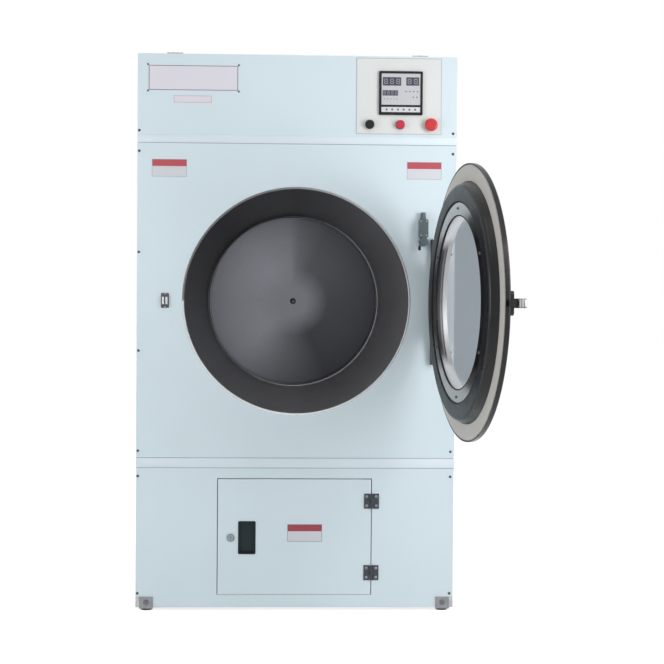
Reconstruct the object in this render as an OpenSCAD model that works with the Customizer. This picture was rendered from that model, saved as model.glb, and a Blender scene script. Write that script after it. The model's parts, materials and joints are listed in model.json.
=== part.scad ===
// Front-loading commercial tumble drier with one drum, a round door on a
// side hinge, a control header and a hinged lint door below.
// X points to the right, Y into the machine and Z up. The origin lies on the
// floor, at the centre of the four anchor holes. Millimetres.

/* [Cabinet] */
// Width of the cabinet
cab_w = 1000; // [900:10:1200]
// Depth of the cabinet, from the front skin to the rear panel
cab_d = 1100; // [990:10:1300]
// Height of the sheet-metal cabinet
cab_h = 1735; // [1700:5:1850]
// Gap between the floor and the cabinet
foot_gap = 10; // [9:1:20]
// Thickness of the sheet panels
sheet = 2; // [1.5:0.5:3]
// How far the front panels fold back round the sides
return_d = 20; // [15:1:30]
// Height of the lower front panel
lower_h = 441; // [430:1:480]
// Height of the trim rail between the lower and middle panels
lower_rail_h = 30; // [20:1:40]
// Height of the trim rail under the header
upper_rail_h = 25; // [15:1:40]
// Height of the header panel with the controls
header_h = 252; // [240:1:300]
// How far the lower trim rail stands proud of the panels
rail_proud = 3; // [1:0.5:5]

/* [Frame] */
// Side of the frame's square tube
tube = 40; // [30:1:45]
// Wall of the frame's square tube
tube_wall = 3; // [2:0.5:4]
// Side of the anchor plate in each corner of the base
anchor_plate = 70; // [50:5:90]
// Thickness of the anchor plates
anchor_plate_t = 5; // [4:1:8]
// Radius of the anchor holes
anchor_r = 7; // [5:0.5:9]
// Width of a foot bracket
foot_w = 43; // [36:1:50]
// Height of a foot bracket's upright plate
foot_h = 34; // [25:1:45]
// Thickness of a foot bracket
foot_t = 3; // [2:0.5:4]
// Radius of a levelling foot's pad
pad_r = 18; // [12:1:20]
// Width of a lifting cleat
cleat_w = 50; // [40:1:60]
// Thickness of a lifting cleat
cleat_t = 8; // [6:1:12]
// Radius of the threaded eyebolt hole in a lifting cleat
eyebolt_r = 5.1; // [4:0.1:7]

/* [Door] */
// Width of the front panel beside the door
door_side = 100; // [90:1:120]
// How far the door's rim laps over the panel round the opening
rim_lap = 42; // [36:1:60]
// Depth of the rolled lip round the opening
lip_d = 30; // [26:1:36]
// Thickness of the door's rim
door_t = 15; // [13:1:20]
// Running gap between the door's plug and the opening
plug_gap = 9; // [7:0.5:14]
// How far the plug stands out of the door's rim
plug_d = 27; // [24:1:34]
// How much the plug narrows from its base to its front
plug_taper = 8; // [4:1:14]
// Width of the plug's front ring, from the plug's base to the bezel
ring_w = 60; // [54:1:80]
// Width of the bezel round the clear window
bezel_w = 39; // [30:1:60]
// How deep the bezel lies in the plug
bezel_depth = 2; // [1:1:5]
// Thickness of the window glass
glass_t = 6; // [4:1:8]
// Width of the groove between the seal and the door's rim
seal_groove = 3; // [1:0.5:6]
// Gap between the closed door's seal and the front panel
seal_gap = 0.5; // [0.3:0.1:1]
// Angle at which the door stands open
door_open = 98.3; // [60:0.1:120]
// Distance from the door's rim to the hinge axis
hinge_offset = 28; // [26:1:34]
// Distance of the hinge axis in front of the panel
hinge_out = 14; // [13:0.5:16]
// Height of the hinge barrel
barrel_h = 392; // [300:2:420]
// Radius of the hinge barrel
barrel_r = 9; // [7:0.5:9]
// Radius of the hinge pins
pin_r = 4; // [3:0.5:5]

/* [Handle and catch] */
// Height of the handle's black base
handle_base_h = 66; // [50:1:80]
// Height of the chrome grip
grip_h = 25; // [20:1:30]
// Length of the chrome grip along the door's radius
grip_l = 95; // [80:1:120]
// Depth of the chrome grip
grip_d = 25; // [12:1:30]
// Finger gap behind the grip
finger_gap = 11; // [10:1:22]
// Radius of a catch roller
roller_r = 3.1; // [2.9:0.1:3.4]
// Height of a catch roller
roller_h = 23; // [18:1:26]
// Gap between the two catch rollers
roller_gap = 4.6; // [4:0.2:5]

/* [Drum] */
// Distance between the drum and the cabinet's sides
drum_side = 60; // [56:1:80]
// Depth of the cabinet that the front gap, the bearings and the belts take
drive_depth = 370; // [355:5:450]
// Length of the drum's straight wall
drum_straight = 270; // [200:5:350]
// How much the drum narrows towards its back plate
cone_in = 134; // [120:1:160]
// Thickness of the drum's sheet
drum_sheet = 2.5; // [2:0.5:4]
// Height of a lifter
lifter_h = 62; // [40:1:64]
// Width of a lifter at its foot
lifter_w = 110; // [80:1:140]
// Height of a lifter's upright foot
lifter_foot = 12; // [8:1:16]
// Radius of the drum shaft
shaft_r = 30; // [24:1:34]
// Radial running clearance of shafts, pins and plungers
run_gap = 0.05; // [0.02:0.01:0.1]

/* [Drive] */
// Outer radius of the drum pulley
big_pulley_r = 259; // [220:1:280]
// Outer radius of the motor pulley
small_pulley_r = 43; // [36:1:60]
// Width of a belt
belt_w = 13; // [10:1:17]
// Thickness of a belt
belt_t = 8; // [6:1:11]
// Distance of the gear motor's shaft from the cabinet's right side
motor_side = 170; // [160:5:200]
// Height of the gear motor's shaft above the floor
motor_z = 150; // [140:5:190]

/* [Air path] */
// Radius of the blower wheel
wheel_r = 140; // [110:1:145]
// Width of the blower housing
scroll_w = 150; // [120:1:160]
// Number of blades on the blower wheel
blade_count = 30; // [16:2:36]
// Radius of the exhaust collar
exhaust_r = 100; // [75:1:102]
// Distance of the exhaust collar's axis from the cabinet's left side
exhaust_side = 172; // [165:1:200]
// Length of the exhaust collar outside its flange
exhaust_l = 60; // [40:1:100]
// Width of the fresh-air grille
grille_w = 540; // [300:10:600]
// Height of the fresh-air grille
grille_h = 176; // [120:8:200]
// Number of blades in the fresh-air grille
louvre_count = 7; // [5:1:9]

/* [Lint door] */
// Width of the lint door
lint_w = 482; // [420:2:500]
// Height of the lint door
lint_h = 363; // [300:1:364]
// Offset of the lint door's centre to the left
lint_left = 2; // [0:1:20]
// Height of the lint door's lower edge above the cabinet's underside
lint_up = 42; // [41:1:50]
// Gap round the lint door
lint_gap = 2.5; // [1.5:0.5:4]
// Side of a lint-door hinge
lint_hinge = 47; // [36:1:56]
// Width of the recessed pull
pull_w = 55; // [45:1:65]
// Height of the recessed pull
pull_h = 104; // [80:1:120]
// Depth of the recessed pull
pull_d = 15; // [12:1:18]
// Radius of the cam lock's head
lock_r = 11; // [9:0.5:14]

/* [Controls] */
// Width of the control plate
plate_w = 268; // [250:1:280]
// Height of the control plate
plate_h = 238; // [230:1:240]
// Thickness of the control plate
plate_t = 1.5; // [1:0.5:3]
// Width of the header to the right of the control plate
plate_edge = 49; // [40:1:60]
// Side of the controller's square frame
controller = 137; // [120:1:144]
// How far the controller stands out of the plate
controller_out = 7; // [4:1:12]
// Radius of the two push buttons
button_r = 13.5; // [11:0.5:15]
// Radius of the emergency stop's mushroom head
mushroom_r = 20; // [16:1:22]
// Travel of the buttons
button_travel = 5; // [3:0.5:6]

/* [Door switch] */
// Width of the switch body
switch_w = 29; // [26:1:32]
// Height of the switch body
switch_h = 56; // [50:1:64]
// Depth of the switch body
switch_d = 28; // [24:1:28]
// Radius of the lever's roller
lever_roller_r = 7.5; // [6:0.5:8]
// Width of the lever's roller
lever_roller_w = 7; // [5:1:8]

/* [Hidden] */
$fn = 96;
front_y = -cab_d / 2;
back_y = cab_d / 2;
half_w = cab_w / 2;
z_bottom = foot_gap;
z_top = foot_gap + cab_h;
z_lower = z_bottom + lower_h;
z_mid = z_lower + lower_rail_h;
z_header = z_top - header_h;
z_upper = z_header - upper_rail_h;
drum_z = (z_mid + z_upper) / 2;

// Frame rails, from the panels' inner faces.
frame_x = half_w - sheet;
frame_y = cab_d / 2 - sheet;
shelf_z = z_mid + 5;
anchor_x = frame_x - tube - anchor_plate / 2;
anchor_y = frame_y - tube - anchor_plate / 2;

// Feet: the bracket's floor plate lies under the base, on a nut and a pad.
pad_t = (foot_gap - foot_t) * 0.6;
nut_t = foot_gap - foot_t - pad_t;
foot_x = half_w - 12 - foot_w / 2;
foot_y = cab_d / 2 - 25;
foot_deep = 55;
stud_r = 6;
cleat_x = half_w - 114;
cleat_y = cab_d / 2 - return_d - 45;

// Door: t runs from the door's outer face towards the cabinet.
seal_t = 3;
door_r = half_w - door_side;
opening_r = door_r - rim_lap;
hinge_x = door_r + hinge_offset;
hinge_y = front_y - hinge_out;
door_y = front_y - seal_gap - 1 - door_t;
seal_seat_t = door_t + 1 - seal_t;
plug_r = opening_r - plug_gap;
plug_tip_r = plug_r - plug_taper;
bezel_seat_r = plug_r - ring_w;
window_r = bezel_seat_r - bezel_w;
plug_tip_t = door_t + plug_d;
bezel_t = 3;
bezel_face_t = plug_tip_t - bezel_depth;
glass_seat_t = bezel_face_t - bezel_t - glass_t;
door_sheet = 2;
plug_sheet = 2.5;
lip_edge_r = 3;
leaf_t = 4;
leaf_x = 88;
leaf_w = 50;
knuckle_h = (barrel_h - 4) / 5;

// Latch: the tongue stands between the catch rollers when the door is shut.
catch_x = -(door_r + 12);
catch_w = 25;
catch_h = 47;
catch_t = 1;
catch_out = 9;
roller_x = roller_r + roller_gap / 2;
roller_pin_r = 1.5;
tongue_t = roller_gap - 1;
base_out = 9;
foot_out = base_out + finger_gap;

// Door switch, to the right of the door near the hinge.
switch_x = door_r - 4;
switch_z = drum_z + barrel_h / 2 + 35.5;
head_r = 14;
head_x = switch_x;
head_z = switch_z - switch_h / 2 - head_r;
lever_y = front_y - 18;
lever_x = head_x - head_r;
lever_arm = 20;
lever_tilt = 12;
lever_t = 2.5;
lever_gap = 2.5;
spindle_r = 3;
lever_roller_y = lever_y - lever_arm * sin(lever_tilt);
lever_roller_z = head_z - lever_arm * cos(lever_tilt);
lever_roller_x = lever_x - 2;
striker_out = lever_roller_y - lever_roller_r - 0.5;

// Drum: its mouth stands round the rolled lip.
mouth_r = opening_r + sheet + 5;
drum_r = half_w - drum_side;
back_r = drum_r - cone_in;
drum_depth = cab_d - drive_depth;
drum_y = front_y + lip_d - 8;
cone_y = drum_y + drum_straight;
drum_back_y = drum_y + drum_depth;
plate_thick = 4;
hub_r = 150;
hub_t = 18;
bulkhead_y = drum_back_y + plate_thick + hub_t + 24;
bulkhead_t = 8;
housing_l = 140;
pulley_w = 2 * belt_w + 18;
pulley_y = bulkhead_y + bulkhead_t + housing_l + 8;
belt_gap = 0.3;
groove_ys = [pulley_y + pulley_w / 2 - belt_w / 2 - 4, pulley_y + pulley_w / 2 + belt_w / 2 + 4];
hub_cap_r = shaft_r + 6;
window_w = 42;

// Gear motor, in front of its pulley.
motor_x = half_w - motor_side;
gear_r = 78;
gear_l = 120;
gear_y = pulley_y - 12 - gear_l;
gear_foot_w = 140;
gear_shaft_r = 14;
motor_r = 62;
fin_r = 70;
fin_pitch = 19;

// Blower: a spiral housing with its eye towards the lint box.
lint_box_d = 380;
scroll_z = z_bottom + tube + wheel_r + 60;
scroll_y = front_y + sheet + tube + lint_box_d;
scroll_min = wheel_r + 12;
scroll_max = wheel_r + 58;
scroll_wall = 2;
eye_r = wheel_r - 40;
mouth_h = scroll_max - wheel_r * 0.35;
duct_w = 2 * exhaust_r + 16;
duct_z = z_bottom + tube;
duct_h = 2 * exhaust_r + 16;
spigot_x = exhaust_side - half_w;
duct_x = spigot_x + duct_w / 2;
scroll_x = duct_x + scroll_max + 12;
spigot_z = duct_z + duct_h / 2;
motor_l = 190;
blower_motor_y = scroll_y + scroll_w + 3;
blower_shaft_r = 12;
blower_motor_r = 74;
blower_fin_r = 82;

// Cross tubes of the base, under the blower, its motor and the gear motor.
cross_ys = [scroll_y + scroll_w / 2 - 2, blower_motor_y + 120, gear_y + 28];

// Lint door and the box behind it.
lint_x = -lint_left;
lint_z = z_bottom + lint_up + lint_h / 2;
lint_axis_x = lint_x + lint_w / 2 + lint_gap / 2;
lint_axis_y = front_y - 4.5;
lint_return = 8;
lint_leaf_t = 2.5;
lint_hinge_zs = [lint_z + 113, lint_z - 113];
pull_x = lint_x - 149.5;
pull_z = lint_z - 3;
lock_x = lint_x - 200;
cam_y = front_y + lint_return + 2;
cam_t = 2.5;
screen_z = lint_z + lint_h / 2 - 50;

// Header: places of the control plate and what it carries.
control_x = half_w - plate_edge - plate_w / 2;
control_z = (z_header + z_top) / 2 + 1;
controller_x = control_x + 5.5;
controller_z = control_z + 9.5;
button_z = control_z - 89;
button_xs = [control_x - 91.5, control_x + 4.5, control_x + 101];
controller_case = controller - 7;
cutout = controller_case + 2;
button_barrel_r = 11;
button_hole_r = button_barrel_r + 0.4;
collar_r = 14.5;
collar_t = 3;
stem_r = 8;
heater_z = z_upper - 8;
grille_z = (heater_z + z_top - sheet - tube) / 2;
gland_x = half_w - 70;
gland_z = z_header + 110;
gland_r = 9;

powder = [0.83, 0.90, 0.94];
zinc = [0.55, 0.55, 0.56];
steel = [0.62, 0.63, 0.64];
dark_steel = [0.35, 0.35, 0.37];
black = [0.08, 0.08, 0.09];

// Puts a shape that is turned about Z on a Y axis through x and z, with its
// Z = 0 at y and its +Z into the machine.
module along_y(x, y, z) {
    translate([x, y, z]) rotate([-90, 0, 0]) children();
}

// Puts a shape that is drawn for the closed door where the open door is.
module on_door() {
    translate([hinge_x, hinge_y, 0]) rotate([0, 0, door_open])
        translate([-hinge_x, -hinge_y, 0]) children();
}

// A plate in the XZ plane, centred on x and z, from y into the machine.
module wall_plate(x, y, z, w, h, t) {
    translate([x - w / 2, y, z - h / 2]) cube([w, t, h]);
}

// A flat shape drawn as X and Z, from y into the machine.
module wall_shape(x, y, z, t) {
    translate([x, y + t, z]) rotate([90, 0, 0]) linear_extrude(t) children();
}

module round_rect(w, h, r) {
    square([w - 2 * r, h], center = true);
    square([w, h - 2 * r], center = true);
    for (x = [-1, 1], z = [-1, 1]) translate([x * (w / 2 - r), z * (h / 2 - r)]) circle(r);
}

module tube_section() {
    difference() {
        square(tube, center = true);
        square(tube - 2 * tube_wall, center = true);
    }
}

// Square tubes, each given by the middle of one end.
module tube_x(x, y, z, l) {
    translate([x, y, z]) rotate([90, 0, 90]) linear_extrude(l) tube_section();
}

module tube_y(x, y, z, l) {
    translate([x, y + l, z]) rotate([90, 0, 0]) linear_extrude(l) tube_section();
}

module tube_z(x, y, z, l) {
    translate([x, y, z]) linear_extrude(l) tube_section();
}

// A ring of tubes at one height, with the short tubes between the long ones.
module tube_ring(z) {
    for (side = [-1, 1]) {
        tube_x(-frame_x, side * (frame_y - tube / 2), z, 2 * frame_x);
        tube_y(side * (frame_x - tube / 2), -frame_y + tube, z, 2 * (frame_y - tube));
    }
}

// One front panel: a skin that folds back round both sides.
module front_skin(low, high, proud) {
    translate([0, 0, low]) linear_extrude(high - low) difference() {
        translate([-half_w - proud / 2, front_y - proud]) square([cab_w + proud, return_d + proud]);
        translate([-half_w + sheet, front_y + sheet]) square([cab_w - 2 * sheet, return_d]);
    }
}

module base_frame() {
    base_z = z_bottom + tube / 2;
    color(dark_steel) {
        tube_ring(base_z);
        for (y = cross_ys) tube_x(-frame_x + tube, y, base_z, 2 * (frame_x - tube));
        for (x = [-1, 1], y = [-1, 1]) {
            translate([x * anchor_x, y * anchor_y, z_bottom]) difference() {
                translate([-anchor_plate / 2, -anchor_plate / 2, 0])
                    cube([anchor_plate, anchor_plate, anchor_plate_t]);
                translate([0, 0, -1]) cylinder(r = anchor_r, h = anchor_plate_t + 2);
            }
        }
    }
}

module cabinet_frame() {
    post_z = z_bottom + tube;
    post_h = z_top - sheet - tube - post_z;
    post_x = frame_x - tube / 2;
    post_y = frame_y - tube / 2;
    color(dark_steel) {
        for (x = [-1, 1], y = [-1, 1]) tube_z(x * post_x, y * post_y, post_z, post_h);
        tube_ring(z_top - sheet - tube / 2);
        for (side = [-1, 1]) {
            tube_y(side * post_x, -frame_y + tube, shelf_z - tube / 2, 2 * (frame_y - tube));
        }
        for (z = [shelf_z - tube / 2, z_header - upper_rail_h / 2]) {
            tube_x(-frame_x + tube, -post_y, z, 2 * (frame_x - tube));
        }
    }
}

// A plain side panel between the front fold and the rear panel.
module side_panel(side) {
    color(powder) translate([side * (half_w - sheet / 2) - sheet / 2, front_y + return_d, z_bottom])
        cube([sheet, cab_d - return_d - sheet, cab_h - sheet]);
}

module side_panel_left() {
    side_panel(-1);
}

module side_panel_right() {
    side_panel(1);
}

module top_panel() {
    color(powder) difference() {
        translate([-half_w, front_y + return_d, z_top - sheet]) cube([cab_w, cab_d - return_d, sheet]);
        for (x = [-1, 1], y = [-1, 1]) {
            translate([x * cleat_x, y * cleat_y, z_top - sheet - 1])
                cylinder(r = eyebolt_r + 1, h = sheet + 2);
        }
    }
}

module rear_panel() {
    color(powder) difference() {
        translate([-half_w, back_y - sheet, z_bottom]) cube([cab_w, sheet, cab_h - sheet]);
        along_y(spigot_x, back_y - sheet - 1, spigot_z) cylinder(r = exhaust_r + 0.5, h = sheet + 2);
        wall_plate(0, back_y - sheet - 1, grille_z, grille_w - 60, grille_h - 40, sheet + 2);
        along_y(gland_x, back_y - sheet - 1, gland_z) cylinder(r = gland_r, h = sheet + 2);
    }
}

module header_panel() {
    color(powder) difference() {
        union() {
            front_skin(z_header, z_top, 0);
            translate([-half_w, front_y, z_top - sheet]) cube([cab_w, return_d, sheet]);
        }
        wall_plate(controller_x, front_y - 1, controller_z, cutout, cutout, sheet + 2);
        for (x = button_xs) along_y(x, front_y - 1, button_z) cylinder(r = button_hole_r, h = sheet + 2);
    }
}

module trim_rails() {
    color([0.78, 0.85, 0.89]) {
        front_skin(z_lower, z_mid, rail_proud);
        front_skin(z_upper, z_header, 0);
    }
}

// Middle panel, with the lip of the loading opening rolled inwards.
module front_panel() {
    color(powder) difference() {
        union() {
            front_skin(z_mid, z_upper, 0);
            along_y(0, front_y, drum_z) cylinder(r = opening_r + sheet, h = lip_d, $fn = 180);
        }
        along_y(0, front_y - 1, drum_z) cylinder(r = opening_r, h = lip_d + 2, $fn = 180);
        along_y(0, front_y, drum_z) rotate_extrude($fn = 180) difference() {
            translate([opening_r - 1, -1]) square([lip_edge_r + 1, lip_edge_r + 1]);
            translate([opening_r + lip_edge_r, lip_edge_r]) circle(lip_edge_r, $fn = 48);
        }
    }
}

module lower_front_panel() {
    color(powder) difference() {
        front_skin(z_bottom, z_lower, 0);
        wall_plate(lint_x, front_y - 1, lint_z, lint_w + 2 * lint_gap, lint_h + 2 * lint_gap, sheet + 2);
    }
}

// Zinc shoes under the four corners, each with an upright plate and a bolt.
module foot_brackets() {
    color(zinc) for (x = [-1, 1], y = [-1, 1]) {
        translate([x * foot_x, 0, 0]) scale([1, y, 1]) difference() {
            union() {
                translate([-foot_w / 2, cab_d / 2, foot_gap - foot_t])
                    cube([foot_w, foot_t, foot_h + foot_t]);
                translate([-foot_w / 2, cab_d / 2 - foot_deep, foot_gap - foot_t])
                    cube([foot_w, foot_deep, foot_t]);
                along_y(0, cab_d / 2 + foot_t, foot_gap + foot_h / 2) cylinder(r = stud_r, h = 4);
            }
            translate([0, foot_y, 0]) cylinder(r = stud_r + 0.3, h = foot_gap + 1);
        }
    }
}

module levelling_feet() {
    color(zinc) for (x = [-1, 1], y = [-1, 1]) translate([x * foot_x, y * foot_y, 0]) {
        rotate_extrude() polygon([
            [0, 0], [pad_r, 0], [pad_r, pad_t * 0.5], [pad_r - 4, pad_t], [stud_r + 5, pad_t],
            [stud_r + 5, pad_t + nut_t], [stud_r, pad_t + nut_t], [stud_r, foot_gap], [0, foot_gap]
        ]);
    }
}

module lifting_cleats() {
    color(zinc) for (x = [-1, 1], y = [-1, 1]) {
        translate([x * cleat_x, y * cleat_y, z_top]) difference() {
            translate([-cleat_w / 2, -35, 0]) cube([cleat_w, 70, cleat_t]);
            translate([0, 0, -1]) cylinder(r = eyebolt_r, h = cleat_t + 2);
        }
    }
}

module control_plate() {
    color([0.90, 0.90, 0.90]) difference() {
        wall_shape(control_x, front_y - plate_t, control_z, plate_t) round_rect(plate_w, plate_h, 3);
        wall_plate(controller_x, front_y - plate_t - 1, controller_z, cutout, cutout, plate_t + 2);
        for (x = button_xs) {
            along_y(x, front_y - plate_t - 1, button_z) cylinder(r = button_hole_r, h = plate_t + 2);
        }
    }
}

// Square controller with a recessed face and its case behind the header.
module controller() {
    color(black) {
        difference() {
            wall_shape(controller_x, front_y - plate_t - controller_out, controller_z, controller_out)
                round_rect(controller, controller, 3);
            wall_plate(controller_x, front_y - plate_t - controller_out - 1, controller_z,
                controller - 15, controller - 15, 2.5);
        }
        wall_plate(controller_x, front_y - plate_t, controller_z, controller_case, controller_case, 90);
    }
}

// Collar, threaded barrel, nut and contact block of each push button.
module button_collars() {
    face = front_y - plate_t;
    barrel_l = 34;
    color([0.20, 0.20, 0.21]) for (x = button_xs) {
        difference() {
            union() {
                along_y(x, face - collar_t, button_z) cylinder(r = collar_r, h = collar_t);
                along_y(x, face, button_z) cylinder(r = button_barrel_r, h = barrel_l);
                along_y(x, front_y + sheet, button_z) cylinder(r = collar_r + 2, h = 4);
            }
            along_y(x, face - collar_t - 1, button_z) cylinder(r = stem_r + run_gap, h = 29);
        }
        wall_plate(x, face + barrel_l, button_z, 2 * collar_r + 1, 40, 28);
    }
}

// A push button: a head in front of its collar, on a plunger.
module push_button(x, r, head_t, dome) {
    face = front_y - plate_t - collar_t;
    stem_end = head_t + button_travel + 16;
    along_y(x, face - button_travel - 1 - head_t, button_z) rotate_extrude() polygon(concat(
        [[0, 0]],
        [for (a = [0 : 15 : 90]) [r - dome + dome * sin(a), dome * (1 - cos(a))]],
        [[r, head_t], [stem_r, head_t], [stem_r, stem_end], [0, stem_end]]
    ));
}

module black_button() {
    color(black) push_button(button_xs[0], button_r, 7, 2);
}

module red_button() {
    color([0.75, 0.10, 0.12]) push_button(button_xs[1], button_r, 7, 2);
}

module emergency_stop() {
    color([0.80, 0.10, 0.12]) push_button(button_xs[2], mushroom_r, 12, 7);
}

// Back plate, ears and fixed pins of the double-roller catch.
module catch_base() {
    ear_t = 2.5;
    ear_w = 20;
    ear_z = roller_h / 2 + 0.4;
    ear_d = catch_out + 4.5;
    color(zinc) {
        wall_shape(catch_x, front_y - catch_t, drum_z, catch_t) round_rect(catch_w, catch_h, 3);
        for (side = [-1, 1]) {
            wall_plate(catch_x, front_y - ear_d, drum_z + side * (ear_z + ear_t / 2), ear_w, ear_t,
                ear_d - catch_t);
            translate([catch_x + side * roller_x, front_y - catch_out, drum_z - ear_z])
                cylinder(r = roller_pin_r, h = 2 * ear_z);
        }
    }
}

module catch_roller(side) {
    color([0.92, 0.92, 0.92])
        translate([catch_x + side * roller_x, front_y - catch_out, drum_z - roller_h / 2]) difference() {
            cylinder(r = roller_r, h = roller_h);
            translate([0, 0, -1]) cylinder(r = roller_pin_r + run_gap, h = roller_h + 2);
        }
}

module catch_roller_left() {
    catch_roller(-1);
}

module catch_roller_right() {
    catch_roller(1);
}

// Limit switch: cast body, turret head, cable gland and the lever's spindle.
module switch_body() {
    gland_h = 5;
    color([0.28, 0.35, 0.37]) {
        wall_shape(switch_x, front_y - switch_d, switch_z, switch_d) round_rect(switch_w, switch_h, 3);
        along_y(head_x, front_y - switch_d, head_z) cylinder(r = head_r, h = switch_d);
        translate([switch_x - 1, front_y - switch_d / 2, switch_z + switch_h / 2]) {
            cylinder(r = 10, h = gland_h);
            translate([0, 0, gland_h]) cylinder(r1 = 9, r2 = 7.5, h = 17);
        }
        translate([lever_x - lever_t - 3, lever_y, head_z]) rotate([0, 90, 0]) cylinder(r = spindle_r, h = 8);
    }
}

// Lever arm on the spindle, with the pin that carries the roller.
module switch_lever() {
    eye_w = 8;
    color(zinc) translate([lever_x - lever_gap, lever_y, head_z]) rotate([-lever_tilt, 0, 0]) difference() {
        union() {
            translate([-lever_t, 0, 0]) rotate([0, 90, 0]) cylinder(r = spindle_r + 3, h = lever_t);
            translate([-lever_t, -eye_w / 2, -lever_arm]) cube([lever_t, eye_w, lever_arm]);
            translate([-lever_t, 0, -lever_arm]) rotate([0, 90, 0]) cylinder(r = eye_w / 2, h = lever_t);
            translate([0, 0, -lever_arm]) rotate([0, 90, 0]) cylinder(r = 2, h = lever_roller_w + 1.2);
        }
        translate([-lever_t - 1, 0, 0]) rotate([0, 90, 0]) cylinder(r = spindle_r + run_gap, h = lever_t + 2);
    }
}

module switch_roller() {
    color(black) translate([lever_roller_x, lever_roller_y, lever_roller_z]) rotate([0, 90, 0]) difference() {
        cylinder(r = lever_roller_r, h = lever_roller_w);
        translate([0, 0, -1]) cylinder(r = 2 + run_gap, h = lever_roller_w + 2);
    }
}

// Knuckles of the door hinge; odd ones belong to the cabinet's leaf.
module knuckles(first) {
    for (i = [first : 2 : 4]) {
        translate([hinge_x, hinge_y, drum_z - barrel_h / 2 + i * (knuckle_h + 1)]) difference() {
            cylinder(r = barrel_r, h = knuckle_h);
            translate([0, 0, -1]) cylinder(r = pin_r + run_gap, h = knuckle_h + 2);
        }
    }
}

module cabinet_hinge_leaf() {
    color(black) {
        wall_shape(hinge_x - 1 + leaf_w / 2, front_y - leaf_t, drum_z, leaf_t)
            round_rect(leaf_w, barrel_h, 4);
        difference() {
            for (i = [0, 2, 4]) {
                translate([hinge_x, front_y - leaf_t - 6, drum_z - barrel_h / 2 + i * (knuckle_h + 1)])
                    cube([barrel_r, 6, knuckle_h]);
            }
            translate([hinge_x, hinge_y, drum_z - barrel_h / 2 - 1])
                cylinder(r = pin_r + run_gap, h = barrel_h + 2);
        }
        knuckles(0);
    }
}

module hinge_pin() {
    color(steel) translate([hinge_x, hinge_y, drum_z - barrel_h / 2]) {
        cylinder(r = pin_r, h = barrel_h);
        translate([0, 0, barrel_h]) cylinder(r1 = pin_r + 3, r2 = pin_r + 1, h = 4);
    }
}

// Door leaf on the door's outer face, with the arm that works the switch.
module door_hinge_leaf() {
    leaf_h = barrel_h - 2 * knuckle_h - 2;
    leaf_y = door_y - leaf_t;
    arm_x = lever_roller_x + lever_roller_w / 2;
    arm_w = 14;
    arm_z = lever_roller_z - lever_roller_r - 4;
    color(black) on_door() {
        difference() {
            union() {
                translate([hinge_x - leaf_x, leaf_y, drum_z - leaf_h / 2]) cube([leaf_x, leaf_t, leaf_h]);
                translate([arm_x - arm_w / 2, leaf_y, drum_z]) cube([arm_w, leaf_t, arm_z - drum_z]);
                translate([arm_x - arm_w / 2, striker_out - 3, arm_z - 3])
                    cube([arm_w, leaf_y + leaf_t - striker_out + 3, 3]);
                translate([arm_x - arm_w / 2, striker_out - 3, arm_z - 3]) cube([arm_w, 3, 15]);
            }
            for (i = [0, 2, 4]) {
                translate([hinge_x, hinge_y, drum_z - barrel_h / 2 + i * (knuckle_h + 1) - 1])
                    cylinder(r = barrel_r + 1, h = knuckle_h + 2);
            }
            translate([hinge_x, hinge_y, drum_z - barrel_h / 2 - 1])
                cylinder(r = pin_r + run_gap, h = barrel_h + 2);
        }
        knuckles(1);
    }
}

// Turns a profile of radius and t about the door's axis, at its open place.
module door_ring(fn = 180) {
    on_door() along_y(0, door_y, drum_z) rotate_extrude($fn = fn) children();
}

module door_pan() {
    edge = 5;
    color(black) door_ring() {
        difference() {
            union() {
                translate([window_r + 2, 0]) square([door_r - edge - window_r - 2, door_sheet]);
                translate([door_r - door_sheet, edge]) square([door_sheet, door_t - edge]);
                intersection() {
                    translate([door_r - edge, edge]) circle(edge, $fn = 48);
                    translate([door_r - edge, 0]) square(edge);
                }
            }
            translate([door_r - edge, edge]) circle(edge - door_sheet, $fn = 48);
        }
        translate([window_r + 2, 0]) square([door_sheet, glass_seat_t - plug_sheet]);
        translate([plug_r - 14, seal_seat_t - door_sheet])
            square([door_r - door_sheet - plug_r + 14, door_sheet]);
    }
}

module door_seal() {
    seal_w = door_r - door_sheet - seal_groove - plug_r;
    color([0.70, 0.68, 0.67]) door_ring() {
        translate([plug_r, seal_seat_t]) square([seal_w, seal_t - 1]);
        translate([plug_r + 1, seal_seat_t]) square([seal_w - 2, seal_t]);
    }
}

// Hollow plug: tapered wall, rounded front ring and the seat of the glass.
module plug_collar() {
    nose = 12;
    color([0.12, 0.12, 0.13]) door_ring() {
        difference() {
            union() {
                polygon([
                    [plug_r, seal_seat_t], [plug_tip_r, plug_tip_t - nose],
                    [plug_tip_r - nose, plug_tip_t - nose], [bezel_seat_r + 4, plug_tip_t - nose],
                    [bezel_seat_r + 4, seal_seat_t]
                ]);
                translate([plug_tip_r - nose, plug_tip_t - nose]) circle(nose, $fn = 64);
                translate([bezel_seat_r + 4, plug_tip_t - 12])
                    square([plug_tip_r - nose - bezel_seat_r - 4, 12]);
                translate([bezel_seat_r + 4, plug_tip_t - 4]) circle(4, $fn = 48);
            }
            polygon([
                [plug_r - plug_sheet, seal_seat_t - 1], [plug_tip_r - plug_sheet, plug_tip_t - nose],
                [plug_tip_r - nose, plug_tip_t - plug_sheet],
                [bezel_seat_r + plug_sheet, plug_tip_t - plug_sheet],
                [bezel_seat_r + plug_sheet, seal_seat_t - 1]
            ]);
        }
        translate([bezel_seat_r, glass_seat_t]) square([plug_sheet, plug_tip_t - glass_seat_t - 4]);
        translate([window_r + 2, glass_seat_t - plug_sheet])
            square([bezel_seat_r + plug_sheet - window_r - 2, plug_sheet]);
    }
}

module glass_gasket() {
    color(black) door_ring() {
        translate([window_r + 12, glass_seat_t]) square([bezel_seat_r - window_r - 12, glass_t]);
        translate([bezel_seat_r - 2, glass_seat_t]) square([2, glass_t + bezel_t + 1.5]);
    }
}

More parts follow.
